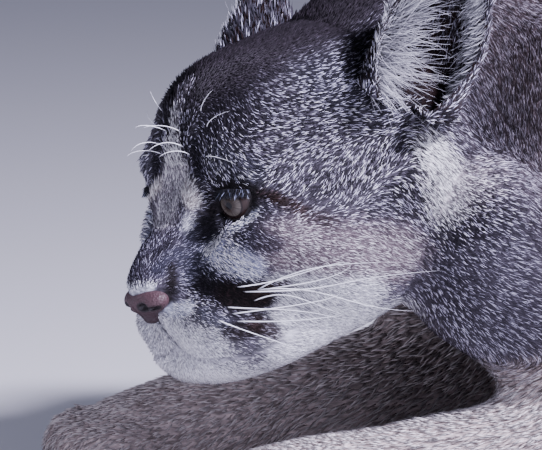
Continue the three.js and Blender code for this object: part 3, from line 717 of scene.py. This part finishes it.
def unwrap(p):
    """A place on the map for points in metres. The head is a disc: the angle from the nose outwards,
    round it the turn about the nose. Each line of the body is a strip: the share along it, and across
    it the turn about the line."""
    uv = np.empty((len(p), 2))
    h = world_to_head(p)
    on_head = (h[:, 0] > -118) & (h[:, 2] > -110)
    q = unit(h[on_head] - HEAD_MIDDLE)
    out = DISC_RADIUS * np.arccos(np.clip(q[:, 0], -1, 1)) / np.pi
    turn = np.arctan2(q[:, 1], q[:, 2])
    uv[on_head] = DISC_MIDDLE + np.stack([out * np.sin(turn), out * np.cos(turn)], 1)
    rest = p[~on_head]
    nearest = np.concatenate([((rest[k:k + CHUNK, None] - line_places[None]) ** 2).sum(-1).argmin(1)
                              for k in range(0, max(len(rest), 1), CHUNK)])
    away, way = rest - line_places[nearest], line_ways[nearest]
    level = unit(np.cross(way, [0, 0, 1.0]))
    rise = np.cross(level, way)
    round_it = np.arctan2((away * level).sum(1), (away * rise).sum(1)) / (2 * np.pi) + 0.5
    share = line_shares[nearest] + (away * way).sum(1) * 0.5
    strip = (STRIPS_HIGH * line_parts[nearest] + STRIP_FILL * round_it) / len(BODY_LINES)
    uv[~on_head] = np.stack([np.clip(STRIP_START + STRIP_LENGTH * share, 0.51, 0.99), STRIPS_FROM + strip], 1)
    return np.clip(uv, 0.003, 0.997)


# Hide.
# The skin under the coat carries the same markings, darker on the head, where the fur over it is closest, as
# painted shade under it, and a fine nap streaked along the body.
def point_colours(mesh, name, colours):
    """A colour for each vertex, kept on the mesh under a name."""
    layer = mesh.color_attributes.new(name, "FLOAT_COLOR", "POINT")
    rgba = np.ones((len(colours), 4), np.float32)
    rgba[:, :3] = colours
    layer.data.foreach_set("color", rgba.ravel())


def corner_places(mesh, uv):
    """The mesh's map OFBake: each corner of a face takes its vertex's place."""
    layer = mesh.uv_layers.new(name="OFBake")
    index = np.empty(len(mesh.loops), np.int32)
    mesh.loops.foreach_get("vertex_index", index)
    layer.data.foreach_set("uv", uv[index].astype(np.float32).ravel())


whole.materials.clear()
whole.materials.append(finish("hide", [
    ("place", "ShaderNodeTexCoord", {}, {}),
    ("lie", "ShaderNodeMapping", {}, {"Vector": ("place", "Object"), "Scale": (0.22, 1.0, 1.0)}),
    ("nap", "ShaderNodeTexNoise", {}, {"Vector": ("lie", "Vector"), "Scale": 520.0, "Detail": 2.0}),
    ("drift", "ShaderNodeTexNoise", {}, {"Vector": ("place", "Object"), "Scale": 28.0, "Detail": 3.0}),
    ("coat", "ShaderNodeAttribute", {"attribute_name": "coat"}, {}),
    ("tick", "ShaderNodeMapRange", {}, {0: ("nap", 0), 1: 0.35, 2: 0.68, 3: 0.50, 4: 1.6}),
    ("patch", "ShaderNodeMapRange", {}, {0: ("drift", 0), 1: 0.3, 2: 0.7, 3: 0.85, 4: 1.15}),
    ("both", "ShaderNodeMath", {"operation": "MULTIPLY"}, {0: ("tick", 0), 1: ("patch", 0)}),
    ("shade", "ShaderNodeVectorMath", {"operation": "SCALE"}, {0: ("coat", "Color"), 3: ("both", 0)}),
    ("fibre", "ShaderNodeBump", {}, {"Strength": 0.5, "Distance": 0.0012, "Height": ("nap", 0)}),
    ("surface", "", {}, {"Base Color": ("shade", 0), "Normal": ("fibre", 0), "Roughness": 0.75,
                         "Specular IOR Level": 0.10}),
]))
skin_places, skin_normals = vertex_values(whole, "co"), vertex_values(whole, "normal")
# painted shade: the skin is darkened on the head, under its close fur
shade_under_coat = 0.95 - 0.60 * head_zone(world_to_head(skin_places), -300, -120)
point_colours(whole, "coat", coat_colour(skin_places)[0] * shade_under_coat[:, None])
corner_places(whole, unwrap(skin_places))

# Fur.
# Flat-lying tufts, dark at the root and pale or dark at the tip. They are finest on the nose and lids,
# close on the face, longer on the neck, and longest and furthest apart on the trunk.
luck = np.random.default_rng(7)
skin_triangles = triangles_of(whole)
corners = skin_places[skin_triangles]
triangle_middle = corners.mean(1)
a, b, c = corners.transpose(1, 0, 2)
triangle_area = np.linalg.norm(np.cross(b - a, c - a), axis=1) / 2
middle_head = world_to_head(triangle_middle)
head_x, head_y, head_z = middle_head.T
to_eye = np.linalg.norm(folded(middle_head) - EYE_CENTRE, axis=1)
in_mouth = (np.abs(head_z - mouth_height(head_x, head_y)) < 1.2) & (head_x > -12)
over_lid = (to_eye > EYE_RADIUS + 0.6) & (head_z > EYE_CENTRE[2] + 5)
under_pad = ellipsoid_depth(middle_head, (40.5, 0, -38.5), (9.5, 15, 7.5)) < 1.0
bare = ((to_eye < EYE_RADIUS + 1.5) & ~over_lid) | in_mouth | under_pad

fur_finish = finish("fur", [
    ("coat", "ShaderNodeAttribute", {"attribute_name": "coat"}, {}),
    ("surface", "", {}, {"Base Color": ("coat", "Color"), "Roughness": 0.55, "Specular IOR Level": 0.10}),
])
PALE_TIP, PALEST = np.array([0.56, 0.56, 0.66]), 0.95
ROOT_DEPTH, MAP_SPOT, CROWN_SHARE = 0.0006, 0.0015, 0.6
TUFT_FACES = np.array([[0, 1, 3], [1, 2, 3], [2, 0, 3], [1, 0, 2]])
TUFT_SPOTS = np.array([[-1, -1], [1, -1], [0, -1 / 3], [0, 1]]) * MAP_SPOT


def sown(density):
    """Roots spread at random over the skin: density per square metre for each triangle."""
    expected = triangle_area * density
    count = np.floor(expected + luck.random(len(expected))).astype(int)
    chosen = np.repeat(np.arange(len(count)), count)
    a, b = luck.random((2, len(chosen)))
    over = a + b > 1
    a[over], b[over] = 1 - a[over], 1 - b[over]
    mix = np.stack([1 - a - b, a, b], 1)[..., None]
    tri = skin_triangles[chosen]
    roots = (skin_places[tri] * mix).sum(1)
    normals = (skin_normals[tri] * mix).sum(1)
    return roots, unit(normals)


def low_down(p):
    """One on a leg or the belly, up to 90 mm from the floor, and nothing from 135 mm on."""
    return steps(p[:, 2], 0.135, 0.090)


def coat_size(p):
    """Tuft length and width in metres: 4.6 by 0.52 mm on the neck, 19.6 by 2.4 mm on the trunk, 6.2 by
    1.1 mm on the forelegs and less on their paws, and 1.9 by 0.37 to 3.8 by 0.56 mm on the face. They
    are larger on the right of the face and neck, by up to 1.75 and 2.5 times."""
    h = world_to_head(p)
    face, rear, leg = head_zone(h, -140, -110), steps(p[:, 0], -0.27, 0.10), low_down(p)
    paw = steps(p[:, 0], -0.40, -0.50)
    long = 0.0046 + 0.0150 * rear * (1 - 0.4 * leg) + (0.0016 - 0.0026 * paw) * leg * (1 - rear)
    wide = 0.00052 + 0.00188 * rear * (1 - 0.3 * leg) + (0.00058 - 0.00030 * paw) * leg * (1 - rear)
    long += (0.0019 + 0.0008 * steps(h[:, 0], 35, -10) + 0.0011 * steps(h[:, 0], -40, -110) - long) * face
    wide += (0.00037 + 0.00019 * steps(h[:, 0], 35, -30) - wide) * face
    far = steps(h[:, 1], 6, -20) * face
    far += steps(p[:, 1], -0.03, 0.05) * (1 - face) * (1 - rear) * (1 - 0.6 * leg)
    near_neck = (1 - face) * (1 - leg) * (1 - rear) * steps(p[:, 1], 0.01, -0.03)
    return long * (1 + 0.75 * far - 0.12 * near_neck), wide * (1 + 1.5 * far - 0.2 * near_neck)


def coat_density(p):
    """Tufts per square metre, as layers of a tuft's length by its width: 2.3 on the nose, 3.1 on the
    cheek and neck, 2.0 on the trunk, 0.6 less on the legs, never under 1.8, and 12% less on the right."""
    long, wide = coat_size(p)
    h = world_to_head(p)
    layers = 2.3 + 0.8 * steps(h[:, 0], -20, -110) - 1.1 * steps(p[:, 0], -0.2, 0.1)
    layers -= 0.6 * low_down(p) * (1 - over_paws(h))
    return np.maximum(layers, 1.8) * (1 - 0.12 * steps(p[:, 1], -0.03, 0.05)) / (long * wide)


def ticked(roots, pale_share):
    """Root and tip colours: pale-tipped and dark-tipped hairs mixed by the coat's own frost. Each takes
    its colour a little way off its root, and the neck's are lighter and darker in waves."""
    x, _, z = world_to_head(roots).T
    spread = 0.0009 + 0.0026 * steps(x, 0, -70)
    colour, frost = coat_colour(roots + luck.normal(0, 1, roots.shape) * spread[:, None])
    mean = colour.mean(1)
    pale = luck.random(len(roots)) < pale_share * (0.42 + 0.86 * steps(mean, 0.12, 0.45))
    waves = (np.sin(0.85 * (x + 0.5 * z) + 1.3 * np.sin(0.21 * z))
             * np.sin(0.62 * (z - 0.5 * x) + 1.1 * np.sin(0.17 * x)))
    on_neck = steps(x, -95, -120) * steps(roots[:, 0], 0.12, -0.18) * steps(roots[:, 2], 0.09, 0.13)
    bright = (luck.uniform(0.6, 1.35, len(roots)) * (1 + 0.5 * waves * on_neck))[:, None]
    light = np.clip(colour * 1.7 + PALE_TIP * steps(mean, 0.02, 0.10)[:, None], 0, PALEST)
    tip = np.where(pale[:, None], tinted(colour, light, frost), colour * (1 - 0.90 * frost[:, None]))
    return colour * (1 - 0.97 * frost[:, None]) * bright, np.clip(tip * bright, 0, PALEST)


def part_of_coat(name, where, lift, pale_share):
    """One region's tufts, where marks the skin's triangles. Each is a closed three-sided spike: a root
    edge let into the skin, a crown over it, and a tip along the lie, lifted by an angle in radians."""
    roots, normals = sown(np.where(bare | ~where, 0, coat_density(triangle_middle)))
    length, width = coat_size(roots)
    root_shade, tip_shade = ticked(roots, pale_share)
    n = len(roots)
    way = laid(lie_of(roots, normals) + luck.normal(0, 0.16, (n, 3)), normals)
    across = np.cross(normals, way)
    length = (length * luck.uniform(0.75, 1.25, n))[:, None]
    width = (width * luck.uniform(0.7, 1.2, n))[:, None]
    lift = (lift * luck.uniform(0.5, 1.5, n))[:, None]
    foot = roots - normals * ROOT_DEPTH
    crown = foot + normals * (ROOT_DEPTH + width * 0.3)
    tip = roots + way * length * np.cos(lift) + normals * length * np.sin(lift)
    verts = np.stack([foot + across * width / 2, foot - across * width / 2, crown, tip], 1).reshape(-1, 3)
    verts[:, 2] = np.maximum(verts[:, 2], OVER_FLOOR / 2)
    crown_shade = root_shade * (1 - CROWN_SHARE) + tip_shade * CROWN_SHARE
    shades = np.stack([root_shade, root_shade, crown_shade, tip_shade], 1).reshape(-1, 3)
    faces = (TUFT_FACES[None] + (np.arange(n) * len(TUFT_SPOTS))[:, None, None]).reshape(-1, 3)
    piece = mesh_object(name, verts, faces)
    piece.data.materials.append(fur_finish)
    point_colours(piece.data, "coat", np.clip(shades, 0.002, 1))
    corner_places(piece.data, (unwrap(roots)[:, None] + TUFT_SPOTS[None]).reshape(-1, 2))
    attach(piece, "root")


x, y, z = triangle_middle.T
on_head = (head_x > -120) & (head_z > -110)
left_face, rest, near = on_head & (head_y > 0), ~on_head & (x >= -0.20), y < -0.01
near_fore, high, by_cheek = ~on_head & ~rest & near, z > 0.10, x < -0.29
COAT = [  # the piece, its triangles, the lift of its tufts and the share of pale ones
    ("fur_nose_left", left_face & (head_x > 2), 0.30, 0.5),
    ("fur_brow_left", left_face & (head_x > -34) & (head_x <= 2), 0.30, 0.5),
    ("fur_temple_left", left_face & (head_x > -80) & (head_x <= -34), 0.30, 0.5),
    ("fur_cheek_left", left_face & (head_x <= -80), 0.30, 0.5),
    ("fur_face_right", on_head & ~left_face, 0.28, 0.5),
    ("fur_neck_left", near_fore & high & by_cheek, 0.28, 0.9),
    ("fur_shoulder_left", near_fore & high & ~by_cheek, 0.27, 0.9),
    ("fur_foreleg_left", near_fore & ~high, 0.25, 0.9),
    ("fur_neck_right", ~on_head & ~rest & ~near, 0.25, 0.9),
    ("fur_body_left", rest & near, 0.20, 0.9),
    ("fur_body_right", rest & ~near, 0.20, 0.9),
]
for name, where, lift, pale_share in COAT:
    part_of_coat(name, where, lift, pale_share)

# Eyes.
# Wet balls, grey-amber: a small round pupil, an iris of fine spokes in a dark ring and a dark white
# at the corners. The front swells a little, as a cornea does, and the top is painted darker as the upper
# lid's shade.
PUPIL, IRIS, IRIS_RIM = (0.004, 0.004, 0.005), (0.028, 0.020, 0.016), (0.075, 0.064, 0.054)
IRIS_RING, EYE_WHITE, BALL_BACK = (0.012, 0.008, 0.008), (0.026, 0.016, 0.014), (0.05, 0.03, 0.03)
SPOKES = (11, 17, 23, 31, 42, 57, 71)
eye_finish = finish("eye", [
    ("tone", "ShaderNodeAttribute", {"attribute_name": "tone"}, {}),
    ("surface", "", {}, {"Base Color": ("tone", "Color"), "Roughness": 0.5, "Specular IOR Level": 0.0,
                         "Coat Weight": 0.6, "Coat Roughness": 0.02, "Coat IOR": 1.38}),
])


def eye_ball(side, rings=110, around=150):
    """A ball about the line of sight: its rings lie at angles that grow as their number to the power
    1.5, and its colours follow the distance over the ball from the pupil's middle, in millimetres."""
    off = np.pi * np.linspace(0.004, 0.998, rings)[:, None] ** 1.5
    turn = around_once(around)[None, :]
    radius = (EYE_RADIUS - 0.15) * (1 + 0.035 * np.exp(-(off / 0.45) ** 2)) + 0 * turn
    way = spread_from(GAZE, LID_ACROSS, LID_UP, off, turn)
    surface = closed_grid((EYE_CENTRE + way * radius[..., None]) * [1, side, 1])
    made = head_piece("left_eye" if side > 0 else "right_eye", *surface)
    mm = off * EYE_RADIUS + 0 * turn
    spokes = sum(np.cos(k * turn + luck.uniform(0, 2 * np.pi) + mm * luck.uniform(-1, 1)) for k in SPOKES)
    colour = tinted(np.array(IRIS), IRIS_RIM, steps(mm, 2.4, 5.0)) * (1 + 0.11 * spokes)[..., None]
    colour = tinted(colour, PUPIL, steps(mm, 2.3, 1.4))
    colour = tinted(colour, IRIS_RING, steps(mm, 6.0, 6.5))
    colour = tinted(colour, EYE_WHITE, steps(mm, 6.8, 7.3))
    # painted shade: the ball darkens towards its top, where the upper lid shades it
    colour *= 1 - 0.65 * steps(EYE_RADIUS * np.sin(off) * np.sin(turn), 0.5, 4.5)[..., None]
    colour = np.concatenate([colour.reshape(-1, 3), [PUPIL, BALL_BACK]])
    point_colours(made.data, "tone", np.clip(colour, 0.002, 1))
    made.data.materials.append(eye_finish)
    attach(made, "root")
    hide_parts("eye_left" if side > 0 else "eye_right")


for side in (1, -1):
    eye_ball(side)

# Lids.
# The wet black rim of each eye, rolled round the edge of the opening, and the dark fold of skin that
# fills its inner corner.
RIM_SECTION = [  # how far outside the edge and how high over the ball each point lies, millimetres
    (-0.8, -0.5), (-0.7, 0.3), (-0.1, 1.0), (0.7, 1.5), (1.8, 1.7), (3.0, 1.2), (3.0, -0.8), (0.8, -1.4)]


def lid_rim(side, around=160):
    """A tube of the rim's section round the opening, whose edge is found along each ray from a point
    inside it by halving 20 mm thirty times."""
    turn = around_once(around)
    ray = np.cos(turn)[:, None] * LID_ACROSS + np.sin(turn)[:, None] * LID_UP
    inner = LID_ACROSS * -1.8 - LID_UP * 1.0
    low, high = np.zeros(around), np.full(around, 20.0)
    for _ in range(30):
        half = (low + high) / 2
        inside = lid_gap(inner + ray * half[:, None]) < 0
        low, high = np.where(inside, half, low), np.where(inside, high, half)
    rows = []
    for out, rise in RIM_SECTION:
        flat = inner + ray * (low + out)[:, None]
        depth = np.sqrt(np.maximum(EYE_RADIUS ** 2 - (flat ** 2).sum(1), (0.40 * EYE_RADIUS) ** 2))
        place = flat + GAZE * depth[:, None]
        rows.append(place * (1 + rise / np.linalg.norm(place, axis=1))[:, None])
    grid = (EYE_CENTRE + np.stack(rows, 1)) * [1, side, 1]
    a = np.arange(grid.shape[0] * grid.shape[1]).reshape(grid.shape[:2])
    b = np.roll(a, -1, 0)
    return grid.reshape(-1, 3), np.stack([a, np.roll(a, -1, 1), np.roll(b, -1, 1), b], -1).reshape(-1, 4)


def corner_fold(side):
    """The fold at the inner corner: an egg of 2.0, 3.2 and 2.0 millimetres let into the ball's edge."""
    off = np.linspace(0.03, 0.97, 14)[:, None] * np.pi
    place = EYE_CENTRE - LID_ACROSS * 13.8 - LID_UP * 0.6 + GAZE * 5.4
    egg = spread_from(LID_ACROSS * 2.0, LID_UP * 3.2, GAZE * 2.0, off, around_once(20)[None, :])
    return closed_grid((place + egg) * [1, side, 1])


lid_finish = finish("lid", [
    ("surface", "", {}, {"Base Color": (0.012, 0.009, 0.010, 1), "Roughness": 0.45,
                         "Specular IOR Level": 0.2}),
])
for side, name in ((1, "left"), (-1, "right")):
    rim = head_piece("lids_" + name, *lid_rim(side))
    corner = head_piece("corner_" + name, *corner_fold(side))
    for piece in (rim, corner):
        piece.data.materials.append(lid_finish)
        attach(piece, "root")

# Nose.
# A bare pad of pebbled leather, brown-pink, with a comma of a nostril on each side and a groove down
# its middle.
PAD_MIDDLE = np.array([38, 0, -40.5])
NOSTRIL = [((51, 6.4, -40.5), (5.5, 3.0, 2.6), 1.2), ((47, 12.0, -41.8), (5.0, 4.2, 1.2), 0.8)]
NOSTRIL_SHADE = [((50, 6.4, -40.5), (5.5, 3.2, 2.7)), ((47, 12.0, -41.8), (5.0, 4.2, 1.3))]
PAD, PAD_LOW, PIT_SHADE = (0.050, 0.025, 0.029), (0.014, 0.009, 0.012), (0.006, 0.004, 0.005)


def nose_depth(p):
    """The signed depth of the pad: two eggs run together, less the nostrils and the groove."""
    q = folded(p)
    d = soft_min(ellipsoid_depth(q, (40.5, 0, -38.5), (9.3, 14.6, 7.3)),
                 ellipsoid_depth(q, (40, 0, -45.5), (5.2, 4.5, 5.6)), 3)
    for centre, radii, blend in NOSTRIL:
        d = cut(d, ellipsoid_depth(q, centre, radii), blend)
    groove = np.maximum(q[..., 1] - 0.35, q[..., 2] + 39.5)
    return cut(d, np.maximum(groove, -1.2 - d), 0.8)


off = np.linspace(0.01, 0.99, 90)[:, None] * np.pi
ray = spread_from(*np.eye(3), off, around_once(130)[None, :])
reach = np.full(ray.shape[:2], 24.0)
for _ in range(60):
    depth = np.clip(nose_depth(PAD_MIDDLE + ray * reach[..., None]), -1, 6)
    reach = np.maximum(reach - depth * 0.6, 0.8)
pad_verts, pad_quads, pad_ends = closed_grid(PAD_MIDDLE + ray * reach[..., None])
nose_pad = head_piece("nose_pad", pad_verts, pad_quads, pad_ends)
# painted shade: the insides of the nostrils are darkened near to black
pit = np.min([ellipsoid_depth(folded(pad_verts), centre, radii) for centre, radii in NOSTRIL_SHADE], 0)
tone = tinted(np.array(PAD), PAD_LOW, 0.7 * steps(pad_verts[:, 2], -39, -48))
point_colours(nose_pad.data, "tone", np.clip(tinted(tone, PIT_SHADE, steps(pit, 1.0, -0.1)), 0.002, 1))
nose_pad.data.materials.append(finish("nose_leather", [
    ("place", "ShaderNodeTexCoord", {}, {}),
    ("tone", "ShaderNodeAttribute", {"attribute_name": "tone"}, {}),
    ("pebble", "ShaderNodeTexVoronoi", {}, {"Vector": ("place", "Object"), "Scale": 900.0}),
    ("grain", "ShaderNodeBump", {}, {"Strength": 0.6, "Distance": 0.0005, "Height": ("pebble", "Distance")}),
    ("surface", "", {}, {"Base Color": ("tone", "Color"), "Normal": ("grain", 0), "Roughness": 0.50,
                         "Specular IOR Level": 0.3}),
]))
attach(nose_pad, "root")
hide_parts("nose")

# Whiskers and long hairs.
# Stiff white whiskers from the dark beds beside the nose and over the brow, the soft white hairs that
# cross the ear's mouth, and the short fringe under the upper lid. Each is one tapered horn hair.
WHISKERS = [  # four places along each, millimetres in the head's frame, for both sides
    [(4, 40, -44), (-11, 57, -39), (-24, 73, -39), (-38, 87, -42)],
    [(-1, 41, -45), (-10, 56, -45), (-20, 69, -44), (-28, 77, -40)],
    [(11, 36, -43), (-14, 63, -48), (-29, 80, -48), (-59, 105, -52)],
    [(4, 40, -44), (-14, 62, -50), (-26, 78, -59), (-44, 97, -68)],
    [(6, 38, -49), (-2, 52, -48), (-8, 64, -53), (-17, 76, -62)],
    [(18, 34, -52), (1, 55, -53), (-13, 71, -53), (-17, 77, -50)],
    [(17, 36, -56), (1, 56, -60), (-8, 69, -61), (-16, 78, -62)],
    [(25, 32, -53), (20, 45, -59), (13, 58, -66), (6, 68, -73)],
    [(14, 34, -40), (-2, 54, -40), (-14, 68, -38), (-26, 80, -38)],
    [(20, 30, -48), (8, 52, -52), (-2, 68, -56), (-14, 84, -64)],
]
BROW_WHISKERS = [
    [(1, 5, 33), (9, 6, 39), (17, 5, 42), (22, 3, 42)],
    [(3, 8, 26), (12, 8, 32), (20, 8, 33), (25, 7, 31)],
    [(3, 11, 22), (10, 13, 27), (18, 14, 29), (24, 14, 28)],
    [(-6, 14, 39), (-4, 18, 45), (-5, 23, 50), (-7, 27, 53)],
    [(-4, 19, 33), (-2, 24, 38), (-4, 30, 41), (-8, 35, 42)],
    [(3, 21, 22), (4, 28, 23), (2, 35, 21), (-1, 41, 17)],
]
WHISKER_WHITE, WHISKER_SET_BACK = np.array([0.95, 0.95, 0.98]), 0.5
WHISKER_THICK, BROW_THICK, FRINGE_THICK, EAR_HAIR_THICK = 0.00042, 0.00026, 0.00022, (0.00016, 0.00032)
THIRDS = (0, 1 / 3, 2 / 3, 1)


def strands(name, paths, radius, root_shade, tip_shade, parts):
    """Closed three-sided tapered hairs: each runs through four places, with the smooth cubic curve that
    meets them at thirds of its length, and thins as (1 - t) to the power 0.7."""
    n = len(paths)
    t = np.linspace(0, 1, parts + 1)
    cubic = np.stack([(t - 1 / 3) * (t - 2 / 3) * (t - 1) * -4.5, t * (t - 2 / 3) * (t - 1) * 13.5,
                      t * (t - 1 / 3) * (t - 1) * -13.5, t * (t - 1 / 3) * (t - 2 / 3) * 4.5])
    line = np.einsum("kt,nkc->ntc", cubic, paths)
    way = unit(np.gradient(line, axis=1))
    side_way = unit(np.cross(way, [0.31, 0.23, 0.92]))
    top_way = np.cross(way, side_way)
    thick = np.reshape(radius, (-1, 1)) * (1 - t[None, :]) ** 0.7
    rings = [line[:, :-1] + (side_way * np.cos(a) + top_way * np.sin(a))[:, :-1] * thick[:, :-1, None]
             for a in around_once(3)]
    verts = np.concatenate([np.stack(rings, 2).reshape(n, -1, 3), line[:, -1:]], 1)
    last = 3 * (parts - 1)
    tip = last + 3
    shape = [(0, 2, 1), (last, last + 1, tip), (last + 1, last + 2, tip), (last + 2, last, tip)]
    for p in range(last):
        q = p + 1 if p % 3 < 2 else p - 2
        shape += [(p, q, q + 3), (p, q + 3, p + 3)]
    faces = (np.array(shape)[None] + (np.arange(n) * (tip + 1))[:, None, None]).reshape(-1, 3)
    share = np.append(np.repeat(t[:-1], 3), 1.0)[None, :, None]
    shades = np.reshape(root_shade, (-1, 1, 3)) * (1 - share) + np.reshape(tip_shade, (-1, 1, 3)) * share
    spots = np.stack([0.0012 * np.append(np.tile([-1, 1, 0], parts), 0), 0.003 * (share[0, :, 0] - 0.5)], 1)
    made = mesh_object(name, verts.reshape(-1, 3), faces)
    made.data.materials.append(fur_finish)
    point_colours(made.data, "coat", np.broadcast_to(shades, verts.shape).reshape(-1, 3))
    corner_places(made.data, (unwrap(paths[:, 0])[:, None] + spots[None]).reshape(-1, 2))
    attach(made, "root")


whisker_paths = both_sides(WHISKERS)
whisker_paths[:, 0, 0] -= WHISKER_SET_BACK
brow_paths = both_sides(BROW_WHISKERS)
strands("whiskers", head_to_world(whisker_paths), WHISKER_THICK, WHISKER_WHITE, WHISKER_WHITE, 14)
strands("brow_whiskers", head_to_world(brow_paths), BROW_THICK, 0.8 * WHISKER_WHITE, WHISKER_WHITE, 12)


def bent(roots, ways, lengths, sag, droop):
    """Four places along hairs that leave their roots along ways and bend by sag times their length
    towards droop."""
    lengths = np.reshape(lengths, (-1, 1))
    return np.stack([roots + ways * lengths * t + droop * lengths * sag * t * t for t in THIRDS], 1)


FRINGE_COUNT, FRINGE_REACH, FRINGE_ROWS = 60, 10.5, (5.8, 7.0, 8.2)
FRINGE_DARK, FRINGE_HIGHLIGHT = np.array([0.014, 0.013, 0.016]), np.array([0.55, 0.60, 0.80])
fringe_roots, fringe_ways = [], []
for row, height in enumerate(FRINGE_ROWS):
    a = np.linspace(-FRINGE_REACH, FRINGE_REACH, FRINGE_COUNT) + luck.uniform(-0.25, 0.25, FRINGE_COUNT)
    flat = a[:, None] * LID_ACROSS + (height - 0.018 * a * a)[:, None] * LID_UP
    depth = np.sqrt(np.maximum((EYE_RADIUS + 1.6) ** 2 - (flat ** 2).sum(1), 16))
    fringe_roots.append(EYE_CENTRE + flat + GAZE * depth[:, None])
    fringe_ways.append(GAZE * 0.75 - LID_UP * (0.75 - 0.1 * row) + (a / 26)[:, None] * LID_ACROSS
                       + luck.normal(0, 0.24, (FRINGE_COUNT, 3)))
fringe_roots, fringe_ways = np.concatenate(fringe_roots), unit(np.concatenate(fringe_ways))
fringe = bent(fringe_roots, fringe_ways, luck.uniform(1.6, 3.2, len(fringe_roots)), 0.2, -LID_UP)
fringe = np.concatenate([fringe, fringe * MIRROR])
# painted highlights: about one fringe hair in eight gets pale bluish tips, as glints of light on the dark
# hairs
pale = np.where(luck.random((len(fringe), 1)) < 0.13, luck.uniform(0.3, 1.0, (len(fringe), 1)), 0.03)
strands("lid_fringe", head_to_world(fringe), FRINGE_THICK, FRINGE_DARK, FRINGE_HIGHLIGHT * pale, 4)

EAR_HAIRS = {  # how many, span round the cup, top, lengths, crowding to the base, power of their shade
    "front": (540, (0.52, 0.80), 0.62, (14, 32), 1.3, 1.0),
    "short": (520, (0.66, 1.0), 0.90, (3, 7), 0.8, 5.0),
    "back": (760, (0.45, 0.98), 0.95, (5, 10), 0.8, 1.5),
    "base": (260, (0.15, 0.95), 0.16, (12, 24), 0.8, 1.2),
    "rim": (470, (0.90, 1.02), 0.85, (4, 7), 0.8, 2.6),
}
EAR_HAIR_WAYS = {  # shares up the ear, across it and out of it
    "back": (-0.80, -0.50, 0.25), "base": (-0.10, 0.9, 0.50), "rim": (0.9, -0.35, 0.25)}
EAR_WHITE, EAR_ROOT_SHARE = np.array([0.95, 0.94, 1.0]), 0.25
ear_paths, ear_tones = [], []
for side in (1, -1):
    base, axis, opens, across = ear_frame(side)
    across = across * side
    for kind, (count, span, top, lengths, crowding, power) in EAR_HAIRS.items():
        s = luck.uniform(0.02, 1, count) ** crowding * top
        share = luck.uniform(*span, count)
        sign = (1 if kind == "back" else -1) * side
        roots = ear_point(side, s, ear_roll(s) * share * sign, np.ones(count, bool))
        if kind in EAR_HAIR_WAYS:
            ways = np.array(EAR_HAIR_WAYS[kind]) @ [axis, across, opens]
        else:
            turn = np.clip(-0.50 + 3.2 * s + luck.normal(0, 0.30, count), -0.45, 1.6)[:, None]
            ways = axis * np.sin(turn) + across * np.cos(turn) + opens * luck.uniform(0.1, 0.7, (count, 1))
        ways = unit(ways + luck.normal(0, 0.18, (count, 3)))
        length = luck.uniform(*lengths, count)
        if kind == "front":
            length *= np.where(s < 0.07, 0.55, np.where(s < 0.22, 1.2, 1.0))
        droop = (-opens * 0.6 + across * luck.normal(0.1, 0.5, (count, 1))
                 + axis * luck.normal(0, 0.6, (count, 1)))
        ear_paths.append(bent(roots, ways, length, 0.30, droop))
        ear_tones.append(luck.uniform(0.35, 1.0, (count, 1)) ** power * EAR_WHITE)
ear_paths, ear_tones = head_to_world(np.concatenate(ear_paths)), np.concatenate(ear_tones)
ear_thick = luck.uniform(*EAR_HAIR_THICK, len(ear_paths))
strands("ear_hair", ear_paths, ear_thick, ear_tones * EAR_ROOT_SHARE, ear_tones, 6)
